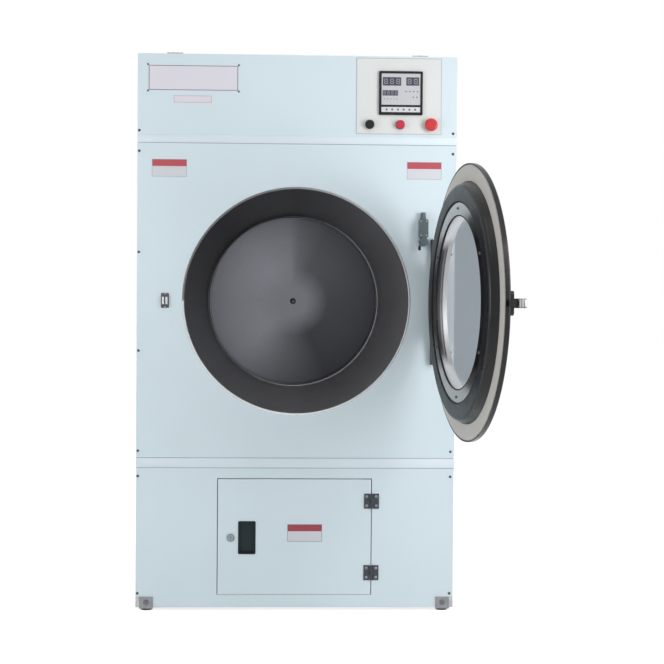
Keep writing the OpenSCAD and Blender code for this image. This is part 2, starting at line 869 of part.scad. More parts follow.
module window_glass() {
    color([0.55, 0.62, 0.68, 0.5]) on_door() along_y(0, door_y + glass_seat_t, drum_z)
        cylinder(r = window_r + 12, h = glass_t, $fn = 180);
}

module glass_bezel() {
    color(steel) door_ring() polygon([
        [window_r, glass_seat_t + glass_t], [bezel_seat_r - 2, glass_seat_t + glass_t],
        [bezel_seat_r - 2, bezel_face_t], [window_r + 2, bezel_face_t], [window_r, bezel_face_t - 2]
    ]);
}

// Base of the handle, with the pedestal and the tongue that enters the catch.
module handle_base() {
    base_x = -door_r + 35;
    color(black) on_door() {
        wall_shape(base_x, door_y - base_out, drum_z, base_out) round_rect(62, handle_base_h, 10);
        wall_plate(base_x - 14, door_y - foot_out, drum_z, 26, grip_h, finger_gap);
        wall_plate((catch_x - tongue_t / 2 - door_r + 6) / 2, door_y - base_out, drum_z,
            -door_r + 6 - catch_x + tongue_t / 2, roller_h - 5, base_out - 0.5);
        translate([catch_x - tongue_t / 2, door_y - 1, drum_z - (roller_h - 5) / 2])
            cube([tongue_t, front_y - catch_out + 3 - door_y + 1, roller_h - 5]);
    }
}

// Chrome grip: a bar with a rounded front over the finger gap.
module door_grip() {
    grip_x = -door_r + 2;
    color([0.80, 0.81, 0.82]) on_door() translate([grip_x, door_y - foot_out, drum_z - grip_h / 2])
        linear_extrude(grip_h) {
            translate([0, -grip_d + 6]) square([grip_l, grip_d - 6]);
            translate([6, -grip_d]) square([grip_l - 12, 12]);
            translate([6, -grip_d + 6]) circle(6, $fn = 48);
            translate([grip_l - 6, -grip_d + 6]) circle(6, $fn = 48);
        }
}

// Drum: a front ring round the lip, a straight wall and a tapering rear.
module drum_shell() {
    color(dark_steel) along_y(0, drum_y, drum_z) rotate_extrude($fn = 180) polygon([
        [mouth_r, 0], [drum_r, 0], [drum_r, drum_straight], [back_r + drum_sheet, drum_depth],
        [back_r - 20, drum_depth], [back_r - 20, drum_depth - drum_sheet],
        [back_r, drum_depth - drum_sheet], [drum_r - drum_sheet, drum_straight],
        [drum_r - drum_sheet, drum_sheet], [mouth_r, drum_sheet]
    ]);
}

// Polished disc that closes the drum, with a beaded rim.
module drum_back_plate() {
    bead = 4;
    color([0.45, 0.44, 0.45]) along_y(0, drum_back_y - drum_sheet - plate_thick, drum_z)
        rotate_extrude($fn = 180) difference() {
            union() {
                translate([10, 0]) square([back_r - 3 - 10, plate_thick]);
                translate([back_r - 3 - bead, 0]) circle(bead, $fn = 32);
            }
            translate([0, plate_thick]) square([back_r, bead]);
        }
}

// Folded lifters on the drum's straight wall.
module drum_lifters() {
    wall_r = drum_r - drum_sheet;
    foot_r = wall_r - lifter_foot;
    top_r = wall_r - lifter_h;
    lifter_l = drum_straight - 60;
    color(steel) intersection() {
        for (a = [45 : 90 : 315]) {
            translate([0, drum_y + 30, drum_z]) rotate([0, a, 0]) translate([0, lifter_l, 0])
                rotate([90, 0, 0]) linear_extrude(lifter_l) polygon([
                    [-lifter_w / 2, drum_r], [-lifter_w / 2, foot_r], [-lifter_w / 5, top_r + 8],
                    [-lifter_w / 8, top_r], [lifter_w / 8, top_r],
                    [lifter_w / 5, top_r + 8], [lifter_w / 2, foot_r], [lifter_w / 2, drum_r]
                ]);
        }
        along_y(0, drum_y, drum_z) cylinder(r = wall_r, h = drum_straight, $fn = 180);
    }
}

// Hub with six arms behind the back plate, and the shaft that carries it.
module drum_shaft() {
    shaft_end = pulley_y + pulley_w + 12;
    color(steel) {
        along_y(0, drum_back_y, drum_z) rotate_extrude() polygon([
            [0, 0], [hub_r, 0], [hub_r, 6], [2 * shaft_r, hub_t], [hub_cap_r, hub_t],
            [hub_cap_r, hub_t + 14], [shaft_r, hub_t + 14],
            [shaft_r, shaft_end - drum_back_y], [0, shaft_end - drum_back_y]
        ]);
        for (a = [0 : 60 : 300]) {
            translate([0, drum_back_y, drum_z]) rotate([0, a, 0]) translate([-shaft_r / 2, 0, hub_r - 6])
                cube([shaft_r, 8, back_r - hub_r]);
        }
        along_y(0, drum_back_y - drum_sheet, drum_z) cylinder(r = hub_r, h = drum_sheet);
    }
}

// Domed nut and washer in the middle of the back plate.
module centre_bolt() {
    seat = drum_back_y - drum_sheet - plate_thick;
    nut_r = 10.5;
    color([0.75, 0.75, 0.76]) {
        along_y(0, seat - 2, drum_z) cylinder(r = nut_r + 1.5, h = 2);
        along_y(0, seat - 2, drum_z) rotate([180, 0, 0]) rotate_extrude() intersection() {
            translate([0, -2]) circle(nut_r);
            square([nut_r, nut_r]);
        }
        along_y(0, seat, drum_z) cylinder(r = 9.8, h = plate_thick);
    }
}

// Two-groove pulley with a web, six round windows and a hub.
module drum_pulley() {
    hub_w = 26;
    rim_w = 30;
    color([0.30, 0.31, 0.33]) difference() {
        along_y(0, pulley_y, drum_z) rotate_extrude($fn = 180) {
            translate([shaft_r, -4]) square([hub_w, pulley_w + 8]);
            translate([shaft_r + hub_w - 6, pulley_w / 2 - 5])
                square([big_pulley_r - rim_w - shaft_r - hub_w + 11, 10]);
            translate([big_pulley_r - rim_w, 0]) square([rim_w, pulley_w]);
        }
        for (y = groove_ys) pulley_groove(0, y, drum_z, big_pulley_r);
        for (a = [30 : 60 : 330]) {
            translate([0, pulley_y, drum_z]) rotate([0, a, 0]) translate([0, 0, big_pulley_r * 0.56])
                rotate([-90, 0, 0]) cylinder(r = window_w, h = pulley_w);
        }
    }
}

// The groove that one belt runs in, round a pulley of the given radius.
module pulley_groove(x, y, z, r) {
    half = belt_w / 2 + belt_gap;
    along_y(x, y, z) rotate_extrude($fn = 180) polygon([
        [r - belt_t - belt_gap, -half], [r + 1, -half], [r + 1, half], [r - belt_t - belt_gap, half]
    ]);
}

module motor_pulley() {
    color([0.30, 0.31, 0.33]) difference() {
        union() {
            along_y(motor_x, pulley_y, motor_z) cylinder(r = small_pulley_r, h = pulley_w);
            along_y(motor_x, pulley_y - 50, motor_z) cylinder(r = gear_shaft_r, h = 50);
        }
        for (y = groove_ys) pulley_groove(motor_x, y, motor_z, small_pulley_r);
    }
}

// Outline of an open belt round both pulleys, taken in by inset.
module belt_outline(inset) {
    span = sqrt(pow(motor_x, 2) + pow(drum_z - motor_z, 2));
    lean = atan2(motor_z - drum_z, motor_x);
    wrap = acos((big_pulley_r - small_pulley_r) / span);
    big = big_pulley_r - inset;
    small = small_pulley_r - inset;
    circle(big, $fn = 180);
    translate([motor_x, motor_z - drum_z]) circle(small);
    polygon([
        [big * cos(lean + wrap), big * sin(lean + wrap)],
        [motor_x + small * cos(lean + wrap), motor_z - drum_z + small * sin(lean + wrap)],
        [motor_x + small * cos(lean - wrap), motor_z - drum_z + small * sin(lean - wrap)],
        [big * cos(lean - wrap), big * sin(lean - wrap)]
    ]);
}

module drum_belts() {
    color(black) for (y = groove_ys) {
        translate([0, y + belt_w / 2, drum_z]) rotate([90, 0, 0]) linear_extrude(belt_w) difference() {
            belt_outline(0);
            belt_outline(belt_t);
        }
    }
}

// Plate between the drum and the drive, standing on the frame's side rails.
module bearing_bulkhead() {
    rib_x = half_w * 0.38;
    color(dark_steel) difference() {
        union() {
            translate([-frame_x, bulkhead_y, shelf_z]) cube([2 * frame_x, bulkhead_t, heater_z - shelf_z]);
            for (x = [-1, 1]) {
                translate([x * rib_x - bulkhead_t / 2, bulkhead_y + bulkhead_t, shelf_z])
                    cube([bulkhead_t, 45, heater_z - shelf_z]);
            }
        }
        along_y(0, bulkhead_y - 1, drum_z) cylinder(r = shaft_r + 26, h = bulkhead_t + 2);
    }
}

// Flanged housing of the two drum bearings.
module bearing_housing() {
    color([0.33, 0.36, 0.40]) along_y(0, bulkhead_y + bulkhead_t, drum_z) difference() {
        rotate_extrude() polygon([
            [shaft_r + run_gap, -bulkhead_t], [shaft_r + 25.5, -bulkhead_t], [shaft_r + 25.5, 0],
            [shaft_r + 85, 0], [shaft_r + 85, 14], [shaft_r + 40, 18], [shaft_r + 28, 34],
            [shaft_r + 24, housing_l - 30],
            [shaft_r + 30, housing_l - 26], [shaft_r + 30, housing_l], [shaft_r + run_gap, housing_l]
        ]);
        for (a = [22.5 : 45 : 337.5]) rotate(a) translate([shaft_r + 70, 0, -1]) cylinder(r = 7, h = 20);
    }
}

// Gear motor: gearbox with the output bore, finned motor and a foot.
module gear_motor() {
    foot_top = motor_z - z_bottom - tube;
    motor_y = gear_y - motor_l;
    terminal = 36;
    color([0.35, 0.42, 0.50]) {
        difference() {
            union() {
                along_y(motor_x, gear_y, motor_z) cylinder(r = gear_r, h = gear_l);
                translate([motor_x - gear_foot_w / 2, gear_y, z_bottom + tube])
                    cube([gear_foot_w, gear_l, foot_top]);
                along_y(motor_x, gear_y + gear_l, motor_z) cylinder(r = 2 * gear_shaft_r + 2, h = 8);
            }
            along_y(motor_x, gear_y + gear_l - 50, motor_z) cylinder(r = gear_shaft_r + run_gap, h = 60);
        }
        along_y(motor_x, motor_y, motor_z) cylinder(r = motor_r, h = motor_l);
        for (i = [0 : 7]) along_y(motor_x, motor_y + 24 + i * fin_pitch, motor_z) cylinder(r = fin_r, h = 6);
        translate([motor_x + 40, motor_y + motor_l * 0.3, motor_z + 40]) cube([terminal, 80, terminal]);
    }
}

function spiral(grow, inset) = [
    for (a = [0 : 10 : 360]) (scroll_min + grow * a / 360 - inset) * [cos(a - 90), sin(a - 90)]
];

// Spiral housing with a tangential mouth on its left side.
module scroll_outline(inset) {
    grow = scroll_max - scroll_min;
    mouth = scroll_max - inset;
    polygon(spiral(grow, inset));
    translate([duct_x - scroll_x, -mouth]) square([scroll_x - duct_x, mouth_h - 2 * inset]);
}

module blower_housing() {
    color([0.60, 0.62, 0.64]) difference() {
        wall_shape(scroll_x, scroll_y, scroll_z, scroll_w) scroll_outline(0);
        wall_shape(scroll_x, scroll_y + scroll_wall, scroll_z, scroll_w - 2 * scroll_wall)
            scroll_outline(scroll_wall);
        along_y(scroll_x, scroll_y - 1, scroll_z) cylinder(r = eye_r, h = scroll_wall + 2);
        along_y(scroll_x, scroll_y + scroll_w - scroll_wall - 1, scroll_z)
            cylinder(r = blower_shaft_r + 10, h = scroll_wall + 2);
        translate([duct_x - 1, scroll_y + scroll_wall, scroll_z - scroll_max + scroll_wall])
            cube([4, scroll_w - 2 * scroll_wall, mouth_h - 2 * scroll_wall]);
    }
}

// Forward-curved wheel: back disc, inlet ring, blades and the hub.
module blower_wheel() {
    wheel_y = scroll_y + scroll_wall + 8;
    wheel_w = scroll_w - 2 * scroll_wall - 20;
    inner_r = wheel_r - 28;
    color(steel) {
        along_y(scroll_x, wheel_y + wheel_w - 3, scroll_z) cylinder(r = wheel_r, h = 3);
        along_y(scroll_x, wheel_y, scroll_z) difference() {
            cylinder(r = wheel_r, h = 3);
            translate([0, 0, -1]) cylinder(r = inner_r, h = 5);
        }
        along_y(scroll_x, wheel_y, scroll_z) for (a = [0 : 360 / blade_count : 359]) rotate(a) {
            translate([inner_r + 1, -6, 3]) rotate(25) cube([26, 1.6, wheel_w - 6]);
        }
        along_y(scroll_x, wheel_y + wheel_w - 40, scroll_z) cylinder(r = blower_shaft_r + 12, h = 37);
        along_y(scroll_x, wheel_y + wheel_w, scroll_z) cylinder(r = blower_shaft_r, h = 45);
    }
}

module blower_motor() {
    color([0.35, 0.42, 0.50]) {
        difference() {
            union() {
                along_y(scroll_x, blower_motor_y, scroll_z) cylinder(r = blower_motor_r, h = motor_l);
                for (i = [0 : 7]) {
                    along_y(scroll_x, blower_motor_y + 22 + i * fin_pitch, scroll_z)
                        cylinder(r = blower_fin_r, h = 6);
                }
                translate([scroll_x - gear_foot_w / 2, blower_motor_y + 70, z_bottom + tube])
                    cube([gear_foot_w, motor_l - 80, scroll_z - z_bottom - tube]);
            }
            along_y(scroll_x, blower_motor_y - 1, scroll_z) cylinder(r = blower_shaft_r + run_gap, h = 60);
        }
    }
}

// Square duct from the blower's mouth to the round collar at the back.
module exhaust_duct() {
    duct_back = back_y - sheet;
    duct_front = scroll_y;
    wall = 2;
    color(zinc) {
        difference() {
            translate([duct_x - duct_w, duct_front, duct_z]) cube([duct_w, duct_back - duct_front, duct_h]);
            translate([duct_x - duct_w + wall, duct_front + wall, duct_z + wall])
                cube([duct_w - 2 * wall, duct_back - duct_front - 2 * wall, duct_h - 2 * wall]);
            translate([duct_x - wall - 1, scroll_y + scroll_wall, scroll_z - scroll_max + scroll_wall])
                cube([wall + 2, scroll_w - 2 * scroll_wall, mouth_h - 2 * scroll_wall]);
            along_y(spigot_x, duct_back - wall - 1, spigot_z) cylinder(r = exhaust_r - wall, h = wall + 2);
        }
        along_y(spigot_x, duct_back - wall, spigot_z) difference() {
            union() {
                cylinder(r = exhaust_r, h = exhaust_l + sheet + 2 * wall);
                translate([0, 0, wall + sheet]) cylinder(r = exhaust_r + 14, h = wall);
            }
            translate([0, 0, -1]) cylinder(r = exhaust_r - wall, h = exhaust_l + sheet + 2 * wall + 2);
        }
    }
}

// Heater casing on the bulkhead, open to the grille, with its element rods.
module heater_box() {
    box_w = 2 * (frame_x - tube) - 60;
    box_y = front_y + 170;
    box_l = back_y - sheet - tube - box_y;
    box_h = z_top - sheet - tube - heater_z - 10;
    color(zinc) {
        difference() {
            translate([-box_w / 2, box_y, heater_z]) cube([box_w, box_l, box_h]);
            translate([-box_w / 2 + 2, box_y + 2, heater_z + 2]) cube([box_w - 4, box_l, box_h - 4]);
            translate([-box_w / 2 + 60, box_y + 60, heater_z - 1]) cube([box_w - 120, 180, 4]);
        }
        for (i = [0 : 5], j = [0 : 1]) {
            translate([-box_w / 2 + 2, box_y + 300 + i * 60, heater_z + 60 + j * 70]) rotate([0, 90, 0])
                cylinder(r = 8, h = box_w - 4);
        }
    }
}

// Grille of sloping blades in a frame on the rear panel.
module inlet_grille() {
    rim = 18;
    pitch = (grille_h - 2 * rim) / louvre_count;
    color(powder) {
        difference() {
            wall_plate(0, back_y, grille_z, grille_w, grille_h, 10);
            wall_plate(0, back_y - 1, grille_z, grille_w - 2 * rim, grille_h - 2 * rim, 12);
        }
        for (i = [0 : louvre_count - 1]) {
            translate([-grille_w / 2 + rim, 0, grille_z - grille_h / 2 + rim + (i + 0.5) * pitch])
                rotate([90, 0, 90]) linear_extrude(grille_w - 2 * rim)
                polygon([[back_y + 1, 4], [back_y + 2.5, 5], [back_y + 9, -5], [back_y + 7.5, -6]]);
        }
    }
}

// Box behind the lint door, with the air shelf that covers it.
module lint_box() {
    wall = 2;
    box_y = front_y + sheet;
    box_w = lint_w + 2 * lint_gap + 2 * wall;
    box_z = z_bottom + tube;
    box_h = shelf_z - box_z;
    keeper_z = pull_z - 10;
    inlet_w = lint_w - 86;
    color(zinc) difference() {
        union() {
            translate([lint_x - box_w / 2, box_y, box_z]) cube([box_w, tube, box_h - tube]);
            translate([lint_x - box_w / 2, box_y + tube, box_z]) cube([box_w, lint_box_d, box_h]);
            translate([-frame_x, box_y + tube, shelf_z]) cube([2 * frame_x, bulkhead_y - box_y - tube, wall]);
            translate([lint_x - box_w / 2 - 12, box_y, keeper_z]) cube([12, cam_y - box_y - 0.4, 44]);
        }
        translate([lint_x - box_w / 2 + wall, box_y - 1, box_z + wall])
            cube([box_w - 2 * wall, tube + 2, box_h - tube - 2 * wall]);
        translate([lint_x - box_w / 2 + wall, box_y + tube, box_z + wall])
            cube([box_w - 2 * wall, lint_box_d - wall, box_h - 2 * wall]);
        translate([lint_x - box_w / 2 - 1, cam_y - 0.4, keeper_z]) cube([wall + 2, cam_t + 0.8, 44]);
        translate([lint_x - inlet_w / 2, box_y + tube + 30, shelf_z - wall - 1])
            cube([inlet_w, lint_box_d - 60, 2 * wall + 2]);
        along_y(scroll_x, box_y + tube + lint_box_d - wall - 1, scroll_z) cylinder(r = eye_r, h = wall + 2);
    }
}

// Lint screen: a frame with crossed bars, on ledges in the lint box.
module lint_screen() {
    frame_w = lint_w - 12;
    frame_l = lint_box_d - 30;
    y0 = front_y + sheet + tube + 10;
    ledge = 16;
    bars_x = 13;
    bars_y = 9;
    color(steel) {
        difference() {
            translate([lint_x - frame_w / 2, y0, screen_z]) cube([frame_w, frame_l, 14]);
            translate([lint_x - frame_w / 2 + 16, y0 + 16, screen_z - 1])
                cube([frame_w - 32, frame_l - 32, 16]);
        }
        for (i = [1 : bars_x]) {
            x = lint_x - frame_w / 2 + 16 + (frame_w - 32) * i / (bars_x + 1);
            translate([x - 1, y0 + 16, screen_z])
                cube([2, frame_l - 32, 4]);
        }
        for (i = [1 : bars_y]) {
            y = y0 + 16 + (frame_l - 32) * i / (bars_y + 1);
            translate([lint_x - frame_w / 2 + 16, y - 1, screen_z + 4]) cube([frame_w - 32, 2, 4]);
        }
        for (side = [-1, 1]) {
            translate([lint_x + side * (lint_w + 2 * lint_gap - ledge) / 2 - ledge / 2, y0, screen_z - 10])
                cube([ledge, frame_l, 10]);
        }
    }
}

module lint_door() {
    color(powder) difference() {
        union() {
            wall_plate(lint_x, front_y, lint_z, lint_w, lint_h, sheet);
            difference() {
                wall_plate(lint_x, front_y, lint_z, lint_w, lint_h, lint_return);
                wall_plate(lint_x, front_y - 1, lint_z, lint_w - 2 * sheet, lint_h - 2 * sheet,
                    lint_return + 2);
            }
        }
        wall_plate(pull_x, front_y - 1, pull_z, pull_w - 4, pull_h - 4, sheet + 2);
        along_y(lock_x, front_y - 1, pull_z) cylinder(r = lock_r - 2 + run_gap, h = sheet + 2);
    }
}

// Cup of the recessed pull, with a flange on the door's face.
module lint_pull() {
    color([0.07, 0.14, 0.16]) difference() {
        union() {
            wall_shape(pull_x, front_y - 1.5, pull_z, 1.5) round_rect(pull_w, pull_h, 4);
            wall_plate(pull_x, front_y, pull_z, pull_w - 4, pull_h - 4, pull_d);
        }
        wall_plate(pull_x, front_y - 2, pull_z, pull_w - 8, pull_h - 8, pull_d);
    }
}

// Cam lock: head, barrel and the cam behind the door, shown unlocked.
module lint_lock() {
    color(steel) {
        difference() {
            along_y(lock_x, front_y - 3, pull_z) cylinder(r = lock_r, h = 3);
            wall_plate(lock_x, front_y - 3.5, pull_z, 2, 11, 2);
        }
        along_y(lock_x, front_y, pull_z) cylinder(r = lock_r - 2, h = cam_y - front_y);
        translate([lock_x - 7, cam_y, pull_z - 8]) cube([14, cam_t, 62]);
    }
}

// Knuckles of the lint-door hinges, two to the panel and one to the door.
module lint_knuckles(parts, r) {
    third = lint_hinge / 3;
    for (z = lint_hinge_zs, i = parts) {
        translate([lint_axis_x, lint_axis_y, z - lint_hinge / 2 + i * third + 0.2]) difference() {
            cylinder(r = 4, h = third - 0.4);
            translate([0, 0, -1]) cylinder(r = r, h = third + 2);
        }
    }
}

module lint_leaf(side, parts) {
    third = lint_hinge / 3;
    for (z = lint_hinge_zs) difference() {
        translate([lint_axis_x + (side < 0 ? -lint_hinge / 2 : 0), front_y - lint_leaf_t, z - lint_hinge / 2])
            cube([lint_hinge / 2, lint_leaf_t, lint_hinge]);
        for (i = parts) {
            translate([lint_axis_x - 5, front_y - lint_leaf_t - 1, z - lint_hinge / 2 + i * third - 0.2])
                cube([10, lint_leaf_t + 2, third + 0.4]);
        }
        translate([lint_axis_x, lint_axis_y, z - lint_hinge]) cylinder(r = 2 + run_gap, h = 2 * lint_hinge);
    }
}

module lint_hinge_leaves() {
    color(black) {
        lint_leaf(1, [1]);
        lint_knuckles([0, 2], 2 - 0.5);
        for (z = lint_hinge_zs) {
            translate([lint_axis_x, lint_axis_y, z - lint_hinge / 2 + 0.2])
                cylinder(r = 2, h = lint_hinge - 0.4);
        }
    }
}

module lint_door_leaves() {
    color(black) {
        lint_leaf(-1, [0, 2]);
        lint_knuckles([1], 2 + run_gap);
    }
}

base_frame();
cabinet_frame();
side_panel_left();
side_panel_right();
top_panel();
rear_panel();
header_panel();
trim_rails();
front_panel();
lower_front_panel();
foot_brackets();
levelling_feet();
lifting_cleats();
control_plate();
controller();
button_collars();
black_button();
red_button();
emergency_stop();
catch_base();
catch_roller_left();
catch_roller_right();
switch_body();
switch_lever();
switch_roller();
cabinet_hinge_leaf();
hinge_pin();
door_hinge_leaf();
door_pan();
door_seal();
plug_collar();
glass_gasket();
window_glass();
glass_bezel();
handle_base();
door_grip();
drum_shell();
drum_back_plate();
drum_lifters();
drum_shaft();
centre_bolt();
drum_pulley();
bearing_bulkhead();
bearing_housing();
gear_motor();
motor_pulley();
drum_belts();
blower_housing();
blower_wheel();
blower_motor();
exhaust_duct();
heater_box();
inlet_grille();
lint_box();
lint_screen();
lint_door();
lint_pull();
lint_lock();
lint_hinge_leaves();
lint_door_leaves();
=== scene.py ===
"""Commercial tumble drier: finishes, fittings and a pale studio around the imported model."""

import json
import math

import bpy
from bpy.props import FloatProperty, FloatVectorProperty, IntProperty, PointerProperty
from mathutils import Matrix, Vector

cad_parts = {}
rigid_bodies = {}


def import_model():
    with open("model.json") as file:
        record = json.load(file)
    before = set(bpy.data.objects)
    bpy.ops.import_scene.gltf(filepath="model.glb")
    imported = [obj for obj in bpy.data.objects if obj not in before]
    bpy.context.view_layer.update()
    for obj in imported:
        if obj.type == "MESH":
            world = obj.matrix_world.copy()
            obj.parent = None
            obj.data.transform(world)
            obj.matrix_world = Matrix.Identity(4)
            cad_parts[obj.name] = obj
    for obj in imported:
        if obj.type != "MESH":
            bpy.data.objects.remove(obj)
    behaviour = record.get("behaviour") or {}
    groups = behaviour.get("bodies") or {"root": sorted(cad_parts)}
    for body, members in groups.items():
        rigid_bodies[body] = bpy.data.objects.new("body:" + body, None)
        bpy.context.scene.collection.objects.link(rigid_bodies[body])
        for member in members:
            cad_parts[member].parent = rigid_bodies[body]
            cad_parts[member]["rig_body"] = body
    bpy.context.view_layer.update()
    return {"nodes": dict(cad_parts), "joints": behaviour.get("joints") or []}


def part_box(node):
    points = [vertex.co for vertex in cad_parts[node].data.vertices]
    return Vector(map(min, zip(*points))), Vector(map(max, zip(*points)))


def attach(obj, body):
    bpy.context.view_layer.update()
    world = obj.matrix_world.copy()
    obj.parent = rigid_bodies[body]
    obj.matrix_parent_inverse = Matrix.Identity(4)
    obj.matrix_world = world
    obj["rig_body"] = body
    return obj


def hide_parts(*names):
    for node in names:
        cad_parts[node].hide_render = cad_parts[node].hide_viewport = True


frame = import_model()

bl_info = {
    "name": "Tumble Drier Finisher",
    "version": (1, 0, 0),
    "blender": (4, 5, 0),
    "location": "View3D > Sidebar > Drier",
    "description": "Dresses the packed tumble drier with finishes, fittings and a studio",
    "category": "Object",
}

MM = 0.001
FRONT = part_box("front_panel")[0].y
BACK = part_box("rear_panel")[1].y
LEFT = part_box("front_panel")[0].x
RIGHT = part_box("front_panel")[1].x
DRUM_Z = (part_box("front_panel")[0].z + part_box("front_panel")[1].z) / 2
HINGE = next(j for j in frame["joints"] if j["name"] == "door_hinge")
OPEN = math.radians(-HINGE["range_deg"][0])
HINGE_POINT = Vector((HINGE["pos_m"][0], HINGE["pos_m"][1], 0))
DOOR_OUT = FRONT - 16.5 * MM
BEHIND_GLASS = (0.383, 0.441, 0.491)
DOOR_TURN = (
    Matrix.Translation(HINGE_POINT) @ Matrix.Rotation(OPEN, 4, "Z") @ Matrix.Translation(-HINGE_POINT)
)
TO_FRONT = (0, -1, 0)
TO_BACK = (0, 1, 0)
LABEL_WIDTH = 0.109
OPENING_RADIUS = 0.3557
BEZEL_SCREW_CIRCLE = 0.271
FOOT_BOLT_X = 0.4665
FOOT_BOLT_Z = 0.027
LOCK_OUTER, LOCK_INNER = 0.0118, 0.0102
SWITCH_X, SWITCH_Z = 0.396, 1.206
HANDLE_X = -0.365
COVER_Z = 0.97


def linear(red, green, blue):
    """A colour as it looks on the object, 0 to 255, as the numbers a shader takes."""
    return tuple(
        c / 255 / 12.92 if c / 255 <= 0.04045 else ((c / 255 + 0.055) / 1.055) ** 2.4
        for c in (red, green, blue)
    )


def colour_prop(name, description, rgb):
    return FloatVectorProperty(
        name=name, description=description, subtype="COLOR", size=3, min=0, max=1, default=linear(*rgb)
    )


def length_prop(name, description, millimetres):
    return FloatProperty(
        name=name, description=description, subtype="DISTANCE", unit="LENGTH", min=0,
        default=millimetres * MM,
    )


class DrierColours(bpy.types.PropertyGroup):
    """Colours of the drier's coats, plastics and plates."""

    powder: colour_prop("Powder coat", "Pale blue coat of the cabinet", (219, 234, 241))
    trim: colour_prop("Trim coat", "Coat of the two trim rails", (224, 237, 244))
    plate: colour_prop("Control plate", "Off-white plate behind the controls", (226, 229, 228))
    seal: colour_prop("Door seal", "Warm grey silicone ring on the door", (214, 210, 204))
    door: colour_prop("Door coat", "Glossy black coat of the door", (22, 22, 24))
    red: colour_prop("Red plastic", "Stop button and mushroom head", (204, 32, 40))
    label: colour_prop("Label red", "Red band of the bare labels", (188, 80, 92))
    wall: colour_prop("Drum wall", "Stainless steel of the drum's wall", (226, 226, 228))
    disc: colour_prop("Drum disc", "Polished disc at the back of the drum", (131, 132, 139))


class DrierSizes(bpy.types.PropertyGroup):
    """Sizes of the small fittings that the scene adds."""

    screw: length_prop("Panel screw", "Radius of a panel screw's head", 4.2)
    hinge_screw: length_prop("Hinge screw", "Radius of a hinge screw's head", 4.4)
    bezel_screw: length_prop("Bezel screw", "Radius of a screw in the window's ring", 4.5)
    rivet: length_prop("Rivet", "Radius of a nameplate rivet", 3.4)
    label_edge: length_prop("Label edge", "Width of the border round a label", 1.2)
    bezel_screws: IntProperty(
        name="Bezel screws", description="Screws round the window's ring", min=3, max=24, default=6
    )


def nothing():
    """Clears the selection, so that an operator takes in nothing else."""
    for other in list(bpy.context.selected_objects):
        other.select_set(False)


def only(obj):
    """Selects this object alone and makes it the active one."""
    nothing()
    obj.select_set(True)
    bpy.context.view_layer.objects.active = obj


def settle(obj):
    """Puts the object's place, turn and scale into its mesh."""
    only(obj)
    bpy.ops.object.transform_apply(location=True, rotation=True, scale=True)


def soften(obj, width, segments=2, angle=35):
    """Rounds the sharp edges and smooths the shading between them."""
    only(obj)
    if width:
        edge = obj.modifiers.new("Soft edge", "BEVEL")
        edge.width = width
        edge.segments = segments
        edge.limit_method = "ANGLE"
        edge.angle_limit = math.radians(angle)
        edge.harden_normals = False
        bpy.ops.object.modifier_apply(modifier=edge.name)
    bpy.ops.object.shade_smooth_by_angle(angle=math.radians(40))


def dress(obj, name, body, finish):
    """Names a finished piece, gives it its finish and puts it on its body."""
    obj.name = name
    obj.data.name = name
    obj.data.materials.clear()
    obj.data.materials.append(FINISHES[finish])
    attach(obj, body)
    return obj


def cube(centre, size):
    """A sharp-edged box."""
    nothing()
    bpy.ops.mesh.primitive_cube_add(size=1, location=centre, scale=size)
    settle(bpy.context.object)
    return bpy.context.object


def disc(centre, direction, radius, vertices):
    """A filled circle that faces along direction."""
    nothing()
    turn = Vector(direction).to_track_quat("Z", "Y").to_euler()
    bpy.ops.mesh.primitive_circle_add(
        vertices=vertices, radius=radius, fill_type="NGON", location=centre, rotation=turn
    )
    settle(bpy.context.object)
    return bpy.context.object


def hoop(y, radius, thickness, around, across):
    """A round bar bent to a circle about the drum's axis."""
    nothing()
    bpy.ops.mesh.primitive_torus_add(
        location=(0, y, DRUM_Z),
        rotation=(math.radians(90), 0, 0),
        major_radius=radius,
        minor_radius=thickness,
        major_segments=around,
        minor_segments=across,
    )
    obj = bpy.context.object
    settle(obj)
    soften(obj, 0)
    return obj


def pull_band(inset, move):
    """Insets the active object's flat face, drops the middle and pulls the band that is left."""
    bpy.ops.object.mode_set(mode="EDIT")
    bpy.ops.mesh.select_all(action="SELECT")
    bpy.ops.mesh.inset(thickness=inset)
    bpy.ops.mesh.delete(type="FACE")
    bpy.ops.mesh.select_all(action="SELECT")
    bpy.ops.mesh.extrude_region_move(TRANSFORM_OT_translate={"value": move})
    bpy.ops.mesh.select_all(action="SELECT")
    bpy.ops.mesh.normals_make_consistent(inside=False)
    bpy.ops.object.mode_set(mode="OBJECT")


def block(centre, size, width=0.0):
    """A box with softened edges, given in metres."""
    obj = cube(centre, size)
    soften(obj, width)
    return obj


def spindle(centre, direction, stages, vertices):
    """A turned shape: a disc pulled along direction, stage by stage, to (radius, distance) in metres."""
    obj = disc(centre, direction, stages[0][0], vertices)
    start = Vector(centre)
    way = Vector(direction).normalized()
    bpy.ops.object.mode_set(mode="EDIT")
    bpy.ops.mesh.select_all(action="SELECT")
    radius, along = stages[0]
    for next_radius, next_along in stages[1:]:
        bpy.ops.mesh.extrude_region_move(TRANSFORM_OT_translate={"value": way * (next_along - along)})
        ratio = max(next_radius, 1e-5) / radius
        bpy.ops.transform.resize(value=(ratio, ratio, ratio), center_override=start + way * next_along)
        radius, along = max(next_radius, 1e-5), next_along
    bpy.ops.mesh.select_all(action="SELECT")
    bpy.ops.mesh.normals_make_consistent(inside=False)
    bpy.ops.object.mode_set(mode="OBJECT")
    soften(obj, 0)
    return obj


